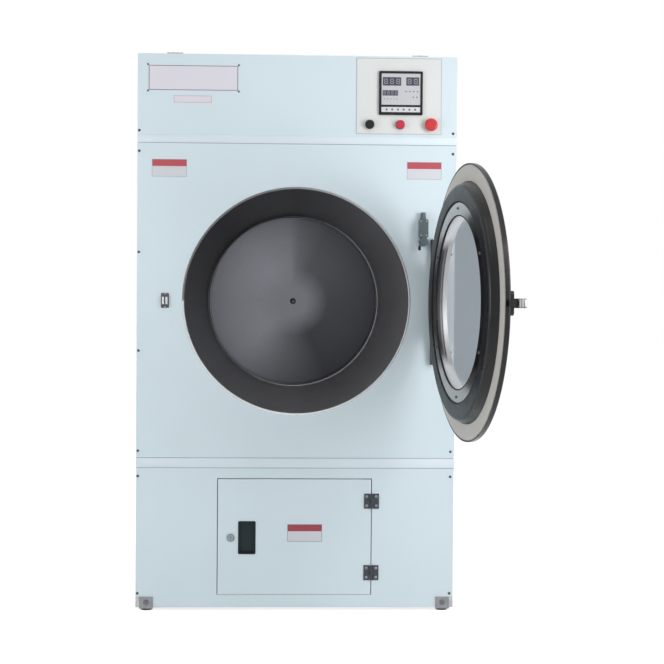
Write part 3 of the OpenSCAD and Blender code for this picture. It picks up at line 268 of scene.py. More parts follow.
def slab(centre, size, radius):
    """A plate with rounded corners, thin from front to back."""
    obj = cube(centre, size)
    bpy.ops.object.mode_set(mode="EDIT")
    bpy.ops.mesh.select_mode(type="EDGE")
    bpy.ops.mesh.select_all(action="DESELECT")
    bpy.ops.object.mode_set(mode="OBJECT")
    for edge in obj.data.edges:
        a, b = (obj.data.vertices[i].co for i in edge.vertices)
        edge.select = abs((a - b).y) > size[1] * 0.5
    bpy.ops.object.mode_set(mode="EDIT")
    bpy.ops.mesh.bevel(offset=radius, segments=5, affect="EDGES")
    bpy.ops.object.mode_set(mode="OBJECT")
    soften(obj, 0)
    return obj


def ring(centre, direction, outer, inner, height, vertices):
    """A flat ring, made by insetting a disc and pulling the band that is left."""
    obj = disc(centre, direction, outer, vertices)
    pull_band(outer - inner, Vector(direction).normalized() * height)
    soften(obj, 0)
    return obj


def join(parts):
    """One mesh out of several finished parts."""
    nothing()
    for part in parts:
        part.select_set(True)
    bpy.context.view_layer.objects.active = parts[0]
    bpy.ops.object.join()
    return bpy.context.object


def copies(part, moves):
    """The part at its own place and again at each move, joined."""
    made = [part]
    for move in moves:
        again = part.copy()
        again.data = part.data.copy()
        bpy.context.scene.collection.objects.link(again)
        again.location = Vector(move)
        settle(again)
        made.append(again)
    return join(made)


def screws(places, radius, facing):
    """Round screw heads with a crossed recess at each place, facing one way."""
    made = []
    way = Vector(facing).normalized()
    first = Vector(places[0])
    profile = ((1, 0), (1, 0.18), (0.82, 0.42), (0.45, 0.52))
    head = spindle(first, way, [(radius * wide, radius * out) for wide, out in profile], 20)
    made.append(head)
    side = way.orthogonal().normalized()
    other = way.cross(side)
    for arm in (side, other):
        size = [abs(arm[i]) * radius * 1.1 + abs(way[i]) * 0.0012 + 0.0007 for i in range(3)]
        made.append(block(first + way * (radius * 0.52), size))
    made = join(made)
    return copies(made, [Vector(p) - first for p in places[1:]])


def fasten(places, radius, name, body="cabinet", finish="screw", facing=TO_FRONT):
    """Screws at each place, finished and set on their body."""
    return dress(screws(places, radius, facing), name, body, finish)


def at_open_door(obj):
    """Turns a piece that was made for the closed door to where the open door is."""
    obj.matrix_world = DOOR_TURN @ obj.matrix_world
    settle(obj)
    return obj


def closed_copy(node, name, width, finish, segments=2, angle=35):
    """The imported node's own shape with its edges softened, standing for that node."""
    source = frame["nodes"][node]
    obj = bpy.data.objects.new(name, source.data.copy())
    bpy.context.scene.collection.objects.link(obj)
    only(obj)
    bpy.ops.object.mode_set(mode="EDIT")
    bpy.ops.mesh.select_all(action="SELECT")
    bpy.ops.mesh.remove_doubles(threshold=0.02 * MM)
    bpy.ops.mesh.dissolve_limited(angle_limit=math.radians(0.5))
    bpy.ops.object.mode_set(mode="OBJECT")
    soften(obj, width, segments, angle)
    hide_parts(node)
    return dress(obj, name, source["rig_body"], finish)


def shader(name, colour, roughness, metallic=0.0, specular=0.5, coat=0.0):
    """A Principled material with its constants set on the shader itself."""
    finish = bpy.data.materials.new(name)
    finish.use_nodes = True
    tree = finish.node_tree
    base = tree.nodes["Principled BSDF"]
    base.inputs["Base Color"].default_value = (*colour, 1)
    base.inputs["Roughness"].default_value = roughness
    base.inputs["Metallic"].default_value = metallic
    base.inputs["Specular IOR Level"].default_value = specular
    base.inputs["Coat Weight"].default_value = coat
    base.inputs["Coat Roughness"].default_value = 0.15
    return finish, tree, base


def object_coordinates(tree, scale=(1, 1, 1)):
    """Object coordinates, stretched."""
    where = tree.nodes.new("ShaderNodeTexCoord")
    stretch = tree.nodes.new("ShaderNodeMapping")
    stretch.inputs["Scale"].default_value = scale
    tree.links.new(where.outputs["Object"], stretch.inputs["Vector"])
    return stretch.outputs["Vector"]


def noise(tree, vector, scale, detail=3.0, rough=0.5):
    made = tree.nodes.new("ShaderNodeTexNoise")
    made.inputs["Scale"].default_value = scale
    made.inputs["Detail"].default_value = detail
    made.inputs["Roughness"].default_value = rough
    tree.links.new(vector, made.inputs["Vector"])
    return made.outputs["Fac"]


def between(tree, value, low, high, start=0.3, end=0.7):
    """A value from a texture, spread from low to high."""
    made = tree.nodes.new("ShaderNodeMapRange")
    made.inputs["From Min"].default_value = start
    made.inputs["From Max"].default_value = end
    made.inputs["To Min"].default_value = low
    made.inputs["To Max"].default_value = high
    tree.links.new(value, made.inputs["Value"])
    return made.outputs["Result"]


def ramp(tree, value, stops):
    """A colour ramp of (position, colour)."""
    made = tree.nodes.new("ShaderNodeValToRGB")
    band = made.color_ramp
    while len(band.elements) < len(stops):
        band.elements.new(0.5)
    for element, (place, colour) in zip(band.elements, stops):
        element.position = place
        element.color = (*colour, 1)
    tree.links.new(value, made.inputs["Fac"])
    return made.outputs["Color"]


def bump(tree, base, value, strength, distance):
    made = tree.nodes.new("ShaderNodeBump")
    made.inputs["Strength"].default_value = strength
    made.inputs["Distance"].default_value = distance
    tree.links.new(value, made.inputs["Height"])
    tree.links.new(made.outputs["Normal"], base.inputs["Normal"])


def shade(colour, factor):
    return tuple(min(1.0, c * factor) for c in colour)


def mottled(tree, value, colour, dark, light, start=0.3):
    """The colour, from darker to lighter, as a texture's value rises."""
    return ramp(tree, value, [(start, shade(colour, dark)), (1 - start, shade(colour, light))])


def maths(tree, operation, value, number):
    made = tree.nodes.new("ShaderNodeMath")
    made.operation = operation
    made.inputs[1].default_value = number
    tree.links.new(value, made.inputs[0])
    return made.outputs[0]


def vector_maths(tree, operation, value):
    made = tree.nodes.new("ShaderNodeVectorMath")
    made.operation = operation
    tree.links.new(value, made.inputs[0])
    return made.outputs


def apart(tree, value):
    """The three parts of a vector, by axis."""
    made = tree.nodes.new("ShaderNodeSeparateXYZ")
    tree.links.new(value, made.inputs["Vector"])
    return made.outputs


def together(tree, **parts):
    """A vector made of single values, by axis."""
    made = tree.nodes.new("ShaderNodeCombineXYZ")
    for axis, value in parts.items():
        tree.links.new(value, made.inputs[axis])
    return made.outputs["Vector"]


def blend(tree, kind, first, second):
    """Two colours in full measure, multiplied or the lighter of both."""
    made = tree.nodes.new("ShaderNodeMix")
    made.data_type = "RGBA"
    made.blend_type = kind
    made.inputs["Factor"].default_value = 1
    tree.links.new(first, made.inputs["A"])
    tree.links.new(second, made.inputs["B"])
    return made.outputs["Result"]


def coated(name, colour, roughness=0.42, texture=900, depth=0.00004, coat=0.0, specular=0.5):
    """Powder coat or paint: fine orange peel and a faint unevenness of tone."""
    finish, tree, base = shader(name, colour, roughness, specular=specular, coat=coat)
    here = object_coordinates(tree)
    tone = mottled(tree, noise(tree, here, 2.5, 2), colour, 0.975, 1.015)
    tree.links.new(tone, base.inputs["Base Color"])
    peel = noise(tree, here, texture, 2)
    bump(tree, base, peel, 0.25, depth)
    rough = between(tree, noise(tree, here, 14, 4), roughness - 0.05, roughness + 0.07)
    tree.links.new(rough, base.inputs["Roughness"])
    return finish


def printed(name, colour, roughness=0.4):
    """A thin, almost smooth coat, as on labels and plates."""
    return coated(name, colour, roughness, 1500, 0.00001)


def brushed(name, colour, roughness, grain=(4, 4, 260), contrast=0.1):
    """Metal with a straight grain."""
    finish, tree, base = shader(name, colour, roughness, 1.0)
    line = noise(tree, object_coordinates(tree, grain), 6, 4, 0.6)
    tone = mottled(tree, line, colour, 1 - contrast, 1 + contrast)
    tree.links.new(tone, base.inputs["Base Color"])
    tree.links.new(between(tree, line, roughness - 0.06, roughness + 0.08), base.inputs["Roughness"])
    bump(tree, base, line, 0.12, 0.00003)
    return finish


def galvanised(name, colour, roughness):
    """Zinc-plated sheet with faint cloudy patches."""
    finish, tree, base = shader(name, colour, roughness, 0.85)
    cloud = noise(tree, object_coordinates(tree), 55, 5, 0.62)
    tone = mottled(tree, cloud, colour, 0.8, 1.18, 0.35)
    tree.links.new(tone, base.inputs["Base Color"])
    tree.links.new(between(tree, cloud, roughness - 0.1, roughness + 0.12), base.inputs["Roughness"])
    bump(tree, base, cloud, 0.1, 0.00004)
    return finish


def moulded(name, colour, roughness, specular=0.5, coat=0.0):
    """Moulded plastic or rubber with a fine grain."""
    finish, tree, base = shader(name, colour, roughness, specular=specular, coat=coat)
    here = object_coordinates(tree)
    grain = noise(tree, here, 1400, 2)
    bump(tree, base, grain, 0.15, 0.00003)
    rough = between(tree, noise(tree, here, 30, 3), roughness - 0.04, roughness + 0.06)
    tree.links.new(rough, base.inputs["Roughness"])
    return finish


def turned_metal(name, colour, roughness, lines, across, contrast=0.12, sweep=(), metallic=1.0):
    """Sheet with its grain round the drum's axis, crossed along 'across'.

    A sweep of (place, level) lays painted light and shade round the axis. Place 0 is left,
    0.25 below, 0.5 right and 0.75 above. It is fixed to the sheet and turns with it.
    """
    finish, tree, base = shader(name, colour, roughness, metallic)
    here = apart(tree, object_coordinates(tree))
    flat = together(tree, X=here["X"], Z=maths(tree, "SUBTRACT", here["Z"], DRUM_Z))
    reach = vector_maths(tree, "LENGTH", flat)["Value"]
    ways = apart(tree, vector_maths(tree, "NORMALIZE", flat)["Vector"])
    fine = maths(tree, "MULTIPLY", here["Y"] if across == "Y" else reach, lines)
    line = noise(tree, together(tree, X=fine, Y=ways["X"], Z=ways["Z"]), 3.0, 4, 0.6)
    shine = mottled(tree, line, colour, 1 - contrast, 1 + contrast)
    # The sweep paints light and shade into the colour
    if sweep:
        round_axis = tree.nodes.new("ShaderNodeTexGradient")
        round_axis.gradient_type = "RADIAL"
        tree.links.new(together(tree, X=ways["X"], Y=ways["Z"]), round_axis.inputs["Vector"])
        sector = ramp(tree, round_axis.outputs["Fac"], [(place, (level,) * 3) for place, level in sweep])
        middle = between(tree, reach, 1, 0, 0.05, 0.125)
        calm = tree.nodes.new("ShaderNodeMix")
        calm.data_type = "RGBA"
        tree.links.new(middle, calm.inputs["Factor"])
        tree.links.new(sector, calm.inputs["A"])
        calm.inputs["B"].default_value = (0.78, 0.78, 0.78, 1)
        shine = blend(tree, "MULTIPLY", shine, calm.outputs["Result"])
    tree.links.new(shine, base.inputs["Base Color"])
    tree.links.new(between(tree, line, roughness - 0.04, roughness + 0.06), base.inputs["Roughness"])
    bump(tree, base, line, 0.1, 0.00002)
    return finish


def reflection_banded(name, colour, roughness, across, deep=()):
    """Bright metal of the door with bands of painted reflection: stops of (place, level) by height and by
    depth.
    """
    finish, tree, base = shader(name, colour, roughness, 1.0)
    where = tree.nodes.new("ShaderNodeTexCoord")
    closed = tree.nodes.new("ShaderNodeMapping")
    back = Matrix.Rotation(-OPEN, 4, "Z")
    closed.inputs["Rotation"].default_value = (0, 0, -OPEN)
    closed.inputs["Location"].default_value = HINGE_POINT - back @ HINGE_POINT
    tree.links.new(where.outputs["Object"], closed.inputs["Vector"])
    here = apart(tree, closed.outputs["Vector"])
    # The stops paint reflections by height and by depth
    level = between(tree, here["Z"], 0, 1, DRUM_Z - 0.25, DRUM_Z + 0.25)
    tone = ramp(tree, level, [(place, shade(colour, part)) for place, part in across])
    if deep:
        depth = between(tree, here["Y"], 0, 1, DOOR_OUT, DOOR_OUT + 30 * MM)
        inward = ramp(tree, depth, [(place, shade(colour, part)) for place, part in deep])
        tone = blend(tree, "LIGHTEN", tone, inward)
    tree.links.new(tone, base.inputs["Base Color"])
    return finish


def tinted_glass(name):
    """Nearly clear glass whose low index keeps it clear at a flat angle."""
    finish, tree, base = shader(name, (0.95, 0.925, 0.92), 0.03)
    base.inputs["Transmission Weight"].default_value = 1.0
    base.inputs["IOR"].default_value = 1.15
    dust = noise(tree, object_coordinates(tree), 20, 4)
    tree.links.new(between(tree, dust, 0.02, 0.06), base.inputs["Roughness"])
    return finish


FINISHES = {}
# Grey levels of painted light, painted shade and painted reflections on bright metal, set by comparing
# renders with the reference
# Painted light and shade round the drum's wall: lighter below and to the right, darker above and to the
# upper left
WALL_PAINTED_LIGHT_SWEEP = (
    (0.0, 0.36), (0.125, 0.52), (0.25, 0.95), (0.375, 1.0), (0.5, 0.8),
    (0.625, 0.8), (0.75, 0.3), (0.875, 0.17), (1.0, 0.36),
)
# Painted highlight and painted shade round the rolled lip of the opening: lighter at the lower left and
# below, darker above
LIP_PAINTED_LIGHT_SWEEP = (
    (0.0, 0.55), (0.12, 0.72), (0.25, 0.8), (0.36, 0.6), (0.5, 0.5), (0.65, 0.4), (0.8, 0.2), (0.93, 0.18),
)
# Painted highlight along the bead's lower and right arc, painted shade above
BEAD_PAINTED_HIGHLIGHT = (
    (0.0, 0.15), (0.05, 0.5), (0.12, 1.0), (0.3, 1.0), (0.5, 1.0), (0.55, 0.5), (0.61, 0.12), (1.0, 0.06),
)
# Painted reflection on the window sleeve: light at its top and bottom and over its outer part, a faint band
# deeper in, dark elsewhere
SLEEVE_PAINTED_REFLECTION_HEIGHT = ((0.12, 1.0), (0.19, 0.07), (0.81, 0.07), (0.88, 1.0))
SLEEVE_PAINTED_REFLECTION_DEPTH = ((0.44, 0.72), (0.48, 0.07), (0.56, 0.07), (0.6, 0.3), (0.68, 0.3), (0.74, 0.07))
# Painted reflection on the chrome grip: a bright band across its middle, darker below and above
GRIP_PAINTED_REFLECTION = ((0.476, 0.2), (0.482, 0.9), (0.516, 0.9), (0.523, 0.45))
# Painted reflection on the window's ring: bright at its top and bottom, dark across its middle
RING_PAINTED_REFLECTION = ((0.09, 1.0), (0.16, 0.12), (0.84, 0.12), (0.91, 1.0))
# Painted reflection on the drum's disc: bright from above round the left to the lower left, darker below
# and to the right
DISC_PAINTED_REFLECTION = (
    (0.0, 0.86), (0.13, 0.9), (0.22, 0.5), (0.32, 0.22), (0.5, 0.28),
    (0.68, 0.4), (0.735, 0.6), (0.76, 0.86), (0.86, 1.0), (1.0, 0.86),
)


def make_finishes(colours):
    powder = tuple(colours.powder)
    FINISHES.update(
        powder=coated("Pale blue powder coat", powder),
        trim=coated("Trim rail coat", tuple(colours.trim)),
        frame=coated("Dark frame primer", linear(70, 72, 76), 0.6),
        zinc=galvanised("Zinc plating", linear(176, 177, 180), 0.42),
        stainless=brushed("Satin stainless", linear(190, 191, 193), 0.3),
        lock=brushed("Dull lock steel", linear(132, 146, 150), 0.42, (40, 40, 40), contrast=0.2),
        bracket=galvanised("Weathered zinc", linear(134, 135, 137), 0.5),
        # The drum wall's finish carries painted light and shade
        wall=turned_metal("Drum wall steel", tuple(colours.wall), 0.48, 260, "Y", 0.1, WALL_PAINTED_LIGHT_SWEEP, 0.88),
        # The disc's finish carries a painted reflection
        disc=turned_metal("Drum disc steel", tuple(colours.disc), 0.3, 420, "R", 0.06, DISC_PAINTED_REFLECTION),
        nut=brushed("Centre nut steel", linear(104, 106, 112), 0.22, (60, 60, 60), contrast=0.05),
        bright=brushed("Bright nut steel", linear(205, 206, 208), 0.22, (60, 60, 60), contrast=0.05),
        plate=printed("Control plate coat", tuple(colours.plate), 0.5),
        black_plastic=moulded("Black moulded plastic", linear(18, 18, 20), 0.45, 0.28),
        red=moulded("Red moulded plastic", tuple(colours.red), 0.32, coat=0.3),
        crimson=moulded("Crimson moulded plastic", linear(192, 28, 56), 0.32, coat=0.3),
        white_plastic=moulded("White nylon", linear(244, 243, 246), 0.35),
        dark_plastic=moulded("Dark green-black plastic", linear(10, 30, 36), 0.42, 0.3),
        switch=coated("Switch enamel", linear(78, 92, 97), 0.5, 700, 0.00008),
        black=coated("Glossy black coat", tuple(colours.door), 0.3, 1000, 0.00002, 0.12, 0.24),
        hinge_black=coated("Hinge black", linear(44, 52, 60), 0.4, 900, 0.00003),
        seal=moulded("Warm grey silicone", tuple(colours.seal), 0.55, 0.4),
        rubber=moulded("Black rubber", linear(22, 22, 23), 0.6, 0.35),
        glass=tinted_glass("Toughened glass"),
        # The chrome's finish carries painted reflection bands
        chrome=reflection_banded("Polished chrome", linear(186, 186, 188), 0.3, GRIP_PAINTED_REFLECTION),
        cast=coated("Machined casting", linear(88, 90, 94), 0.55, 300, 0.0001),
        screw=brushed("Dark screw steel", linear(96, 100, 105), 0.35, (80, 80, 80), contrast=0.1),
        # The bead's finish carries a painted highlight
        bead=turned_metal("Bright bead steel", linear(240, 238, 234), 0.35, 60, "R", 0.03, BEAD_PAINTED_HIGHLIGHT, 0.3),
        # The sleeve's finish carries painted reflections
        sleeve=reflection_banded("Window sleeve steel", linear(204, 207, 210), 0.42, SLEEVE_PAINTED_REFLECTION_HEIGHT, SLEEVE_PAINTED_REFLECTION_DEPTH),
        # The window ring's finish carries painted reflection
        window_ring=reflection_banded("Window ring steel", linear(208, 202, 198), 0.14, RING_PAINTED_REFLECTION),
        label_white=printed("Bare label field", linear(216, 219, 224)),
        label_red=printed("Label red", tuple(colours.label)),
        label_dark=printed("Lint label red", linear(158, 62, 74)),
        label_line=printed("Lint label line", linear(120, 127, 140)),
        label_edge=printed("Nameplate line", linear(128, 106, 118)),
        lilac=printed("Bare lilac-white plate", linear(228, 225, 234)),
        pale_red=printed("Pale red line", linear(206, 160, 168)),
        # Painted shadow lines beside the rails and round the rear cover
        seam=printed("Dark seam", linear(126, 138, 144), 0.5),
        # The lip's finish carries painted highlight and painted shade
        lip=turned_metal("Rolled lip steel", linear(226, 229, 232), 0.5, 60, "R", 0.04, LIP_PAINTED_LIGHT_SWEEP, 0.85),
        # Grey border lines round the labels; the same grey paints a shadow round the control plate
        line_grey=printed("Grey border and painted edge shadow", linear(168, 174, 178)),
        face=printed("Controller face", linear(200, 203, 206), 0.35),
        window=moulded("Display window", linear(58, 57, 70), 0.2, coat=0.4),
        figure=moulded("Pale figures", linear(150, 146, 168), 0.4),
        figure_dark=moulded("Dark indicator dots", linear(96, 98, 104), 0.4),
        key=moulded("Grey keys", linear(120, 122, 128), 0.4),
        motor=coated("Motor enamel", linear(92, 108, 126), 0.5, 500, 0.00006),
    )


NODE_FINISH = {
    "powder": "header_panel front_panel lower_front_panel side_panel_left side_panel_right "
    "top_panel rear_panel inlet_grille lint_door",
    "trim": "trim_rails",
    "frame": "base_frame cabinet_frame bearing_bulkhead",
    "bracket": "foot_brackets",
    "zinc": "lifting_cleats switch_lever exhaust_duct heater_box lint_box",
    "stainless": "lint_screen drum_lifters blower_wheel blower_housing hinge_pin drum_shaft",
    "window_ring": "glass_bezel",
    "lock": "lint_lock",
    "wall": "drum_shell",
    "disc": "drum_back_plate",
    "nut": "centre_bolt",
    "plate": "control_plate",
    "black_plastic": "controller button_collars black_button switch_roller",
    "red": "emergency_stop",
    "crimson": "red_button",
    "white_plastic": "catch_roller_left catch_roller_right",
    "dark_plastic": "lint_pull",
    "switch": "switch_body",
    "hinge_black": "lint_hinge_leaves lint_door_leaves cabinet_hinge_leaf",
    "black": "door_hinge_leaf handle_base door_pan plug_collar",
    "seal": "door_seal",
    "rubber": "glass_gasket drum_belts",
    "glass": "window_glass",
    "chrome": "door_grip",
    "cast": "levelling_feet drum_pulley motor_pulley bearing_housing catch_base",
    "motor": "gear_motor blower_motor",
}


class DRIER_OT_finishes(bpy.types.Operator):
    """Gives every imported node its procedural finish"""

    bl_idname = "drier.finishes"
    bl_label = "Finishes"

    def execute(self, context):
        make_finishes(context.scene.drier_colours)
        for finish, names in NODE_FINISH.items():
            for name in names.split():
                obj = frame["nodes"][name]
                obj.data.materials.clear()
                obj.data.materials.append(FINISHES[finish])
        return {"FINISHED"}


def line_frame(low, high, y, width, thickness):
    """A thin upright border, given by two corners (x, z)."""
    nothing()
    centre = ((low[0] + high[0]) / 2, y, (low[1] + high[1]) / 2)
    bpy.ops.mesh.primitive_plane_add(size=1, location=centre, rotation=(math.radians(90), 0, 0))
    obj = bpy.context.object
    obj.scale = (high[0] - low[0], high[1] - low[1], 1)
    settle(obj)
    pull_band(width, (0, -thickness, 0))
    soften(obj, 0)
    return obj


def front_plate(low, high, y, thickness, radius=0.002):
    """A thin upright plate that lies on y and faces the front."""
    size = (high[0] - low[0], thickness, high[1] - low[1])
    return slab(((low[0] + high[0]) / 2, y - thickness / 2, (low[1] + high[1]) / 2), size, radius)


class DRIER_OT_panel_screws(bpy.types.Operator):
    """Sets the dark screws along the edges of the front, side and rear panels"""

    bl_idname = "drier.panel_screws"
    bl_label = "Panel Screws"

    def execute(self, context):
        radius = context.scene.drier_sizes.screw
        front = [
            (x, FRONT, z)
            for x in (LEFT + 6 * MM, RIGHT - 11.5 * MM)
            for z in (0.055, 0.424, 0.503, 0.817, 1.1255, 1.441, 1.505)
        ]
        fasten(front, radius, "panel_screws")
        deep = BACK - FRONT
        for side, name in ((-1, "left"), (1, "right")):
            flank = [
                (side * (RIGHT - 1.7 * MM), FRONT + back, z)
                for back in (0.032, deep / 2, deep - 0.022)
                for z in (0.06, 0.42, 0.84, 1.26, 1.70)
            ]
            fasten(flank, radius, f"side_screws_{name}", facing=(side, 0, 0))
        behind = [(x, BACK, z) for x in (-0.485, 0.485) for z in (0.06, 0.48, 0.90, 1.32, 1.72)]
        behind += [(x, BACK, 1.72) for x in (-0.16, 0.16)]
        behind += [(x, BACK, z) for x in (-0.295, 0.295) for z in (0.645, 0.97, 1.295)]
        behind += [(x, BACK, z) for x in (-0.1, 0.1) for z in (0.645, 1.295)]
        fasten(behind, radius, "rear_screws", facing=TO_BACK)
        return {"FINISHED"}


class DRIER_OT_rear_cover(bpy.types.Operator):
    """Lays the screwed service cover on the rear panel, with a painted shadow line round it"""

    bl_idname = "drier.rear_cover"
    bl_label = "Rear Cover"

    def execute(self, context):
        cover = slab((0, BACK + 0.6 * MM, COVER_Z), (0.62, 1.2 * MM, 0.68), 0.012)
        dress(cover, "rear_cover", "cabinet", "powder")
        # A painted shadow line round the cover's edge
        seam = slab((0, BACK + 0.15 * MM, COVER_Z), (0.624, 0.3 * MM, 0.684), 0.014)
        dress(seam, "rear_cover_seam", "cabinet", "seam")
        return {"FINISHED"}


class DRIER_OT_plates(bpy.types.Operator):
    """Lays the bare nameplate, the bare sticker and the three bare labels"""

    bl_idname = "drier.plates"
    bl_label = "Plates and Labels"

    def execute(self, context):
        sizes = context.scene.drier_sizes
        low, high = (-0.4655, 1.6312), (-0.1876, 1.7084)
        plate = front_plate(low, high, FRONT, 0.8 * MM, 0.0006)
        dress(plate, "nameplate", "cabinet", "lilac")
        edge = line_frame(low, high, FRONT - 0.8 * MM, 2 * MM, 0.25 * MM)
        dress(edge, "nameplate_edge", "cabinet", "label_edge")
        out = 2.4 * MM
        across, up = (low[0] - out, high[0] + out), (low[1] - out, high[1] + out)
        corners = [(x, FRONT, z) for x in across for z in up]
        profile = [(sizes.rivet, 0), (sizes.rivet, 0.0009), (0.0018, 0.0018)]
        rivet = spindle(corners[0], TO_FRONT, profile, 16)
        rivets = copies(rivet, [Vector(c) - Vector(corners[0]) for c in corners[1:]])
        dress(rivets, "nameplate_rivets", "cabinet", "screw")
        low, high = (-0.3874, 1.5929), (-0.2695, 1.6145)
        dress(front_plate(low, high, FRONT, 0.3 * MM), "sticker", "cabinet", "lilac")
        edge = line_frame(low, high, FRONT - 0.3 * MM, 1.4 * MM, 0.15 * MM)
        dress(edge, "sticker_edge", "cabinet", "pale_red")
        for name, left, bottom, body, band, line in (
            ("label_left", -0.4545, 1.3615, "cabinet", "label_red", "line_grey"),
            ("label_right", 0.344, 1.3605, "cabinet", "label_red", "line_grey"),
            ("label_lint", -0.0242, 0.2182, "lint_access_door", "label_dark", "label_line"),
        ):
            low, high = (left, bottom), (left + LABEL_WIDTH, bottom + LABEL_WIDTH / 2)
            field = front_plate(low, high, FRONT, 0.3 * MM)
            dress(field, name, body, "label_white")
            rim = 0.8 * MM
            corner = (low[0] + rim, high[1] - LABEL_WIDTH * 0.2)
            stripe = front_plate(corner, (high[0] - rim, high[1] - rim), FRONT - 0.3 * MM, 0.15 * MM)
            dress(stripe, name + "_band", body, band)
            edge = line_frame(low, high, FRONT - 0.3 * MM, sizes.label_edge, 0.2 * MM)
            dress(edge, name + "_edge", body, line)
        return {"FINISHED"}


class DRIER_OT_seams(bpy.types.Operator):
    """Softens the trim rails, lays painted shadow lines beside them and rolls the lip of the loading
    opening, whose finish holds painted highlight and shade
    """

    bl_idname = "drier.seams"
    bl_label = "Rails, Shadow Lines and Lip"

    def execute(self, context):
        width = RIGHT - LEFT - 4 * MM
        closed_copy("trim_rails", "trim_rails_soft", 0.9 * MM, "trim")
        lines = []
        for z in (0.4503, 0.4817, 1.4673):
            # Painted shadow lines along the trim rails' edges
            lines.append(block((0, FRONT - 0.2 * MM, z), (width, 0.5 * MM, 1.4 * MM)))
        dress(join(lines), "rail_seams", "cabinet", "seam")
        # The lip's finish carries painted highlight and painted shade
        lip = hoop(FRONT + 3.9 * MM, OPENING_RADIUS, 4.2 * MM, 180, 14)
        dress(lip, "opening_lip", "cabinet", "lip")
        return {"FINISHED"}


def eight(left, bottom, width, height, y):
    """A plain seven-segment figure with every bar lit."""
    stroke = width * 0.2
    near, far = left + stroke / 2, left + width - stroke / 2
    centre = left + width / 2
    made = []
    for x, z, flat in (
        (centre, bottom + height - stroke / 2, True),
        (far, bottom + height * 0.75, False),
        (far, bottom + height * 0.25, False),
        (centre, bottom + stroke / 2, True),
        (near, bottom + height * 0.25, False),
        (near, bottom + height * 0.75, False),
        (centre, bottom + height / 2, True),
    ):
        size = (width * 0.66, 0.0002, stroke) if flat else (stroke, 0.0002, height * 0.38)
        made.append(block((x, y - 0.0001, z), size))
    return made


class DRIER_OT_controller(bpy.types.Operator):
    """Fills the controller with its face, windows, figures and keys"""

    bl_idname = "drier.controller"
    bl_label = "Controller Face"

    def execute(self, context):
        low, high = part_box("controller")
        middle, height = (low.x + high.x) / 2, (low.z + high.z) / 2
        recess = low.y + 1.5 * MM
        half = 61 * MM
        face_low, face_high = height - 36.7 * MM, height + 62 * MM
        strip_low, strip_high = height - 59.5 * MM, height - 43.6 * MM
        near, far = middle - half, middle + half
        face = front_plate((near, face_low), (far, face_high), recess, 0.6 * MM, 0.001)
        dress(face, "controller_face", "cabinet", "face")
        key_strip = front_plate((near, strip_low), (far, strip_high), recess, 0.6 * MM, 0.001)
        dress(key_strip, "key_strip", "cabinet", "label_white")
        front = recess - 0.6 * MM
        windows = (
            ("time", -57 * MM, 23.2 * MM, 57.4 * MM, 26.2 * MM, 3),
            ("heat", 16.5 * MM, 23.8 * MM, 40.4 * MM, 25.6 * MM, 2),
            ("step", -57.5 * MM, -8 * MM, 48.2 * MM, 16.4 * MM, 4),
        )
        for name, left, bottom, width, tall, figures in windows:
            left, bottom = middle + left, height + bottom
            pane = front_plate((left, bottom), (left + width, bottom + tall), front, 0.4 * MM, 0.0008)
            dress(pane, f"window_{name}", "cabinet", "window")
            pitch = width / figures
            bars = []
            for i in range(figures):
                start = left + pitch * (i + 0.2)
                bars += eight(start, bottom + tall * 0.18, pitch * 0.6, tall * 0.64, front - 0.4 * MM)
            dress(join(bars), f"figures_{name}", "cabinet", "figure")
        made = []
        rows = ((5, -51, 9.7, -18.3, 1.6), (4, 16, 12, 5.2, 2.2), (2, 39, 11, -12.4, 2.2))
        for count, start, pitch, up, r in rows:
            r *= MM
            for i in range(count):
                place = (middle + start * MM + i * pitch * MM, front, height + up * MM)
                made.append(spindle(place, TO_FRONT, [(r, 0), (r, 0.0003), (r * 0.7, 0.0006)], 14))
        dress(join(made), "indicator_dots", "cabinet", "figure_dark")
        keys = [middle + (i - 2.5) * 18 * MM for i in range(6)]
        z = (strip_low + strip_high) / 2
        profile = [(3.4 * MM, 0), (3.4 * MM, 0.0004), (2.6 * MM, 0.0008)]
        made = [spindle((x, front, z), TO_FRONT, profile, 18) for x in keys]
        dress(join(made), "keys", "cabinet", "key")
        # A painted shadow line round the control plate's edge
        low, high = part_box("control_plate")
        edge = line_frame((low.x, low.z), (high.x, high.z), low.y, 1.5 * MM, 0.2 * MM)
        dress(edge, "control_plate_edge_shadow", "cabinet", "line_grey")
        return {"FINISHED"}


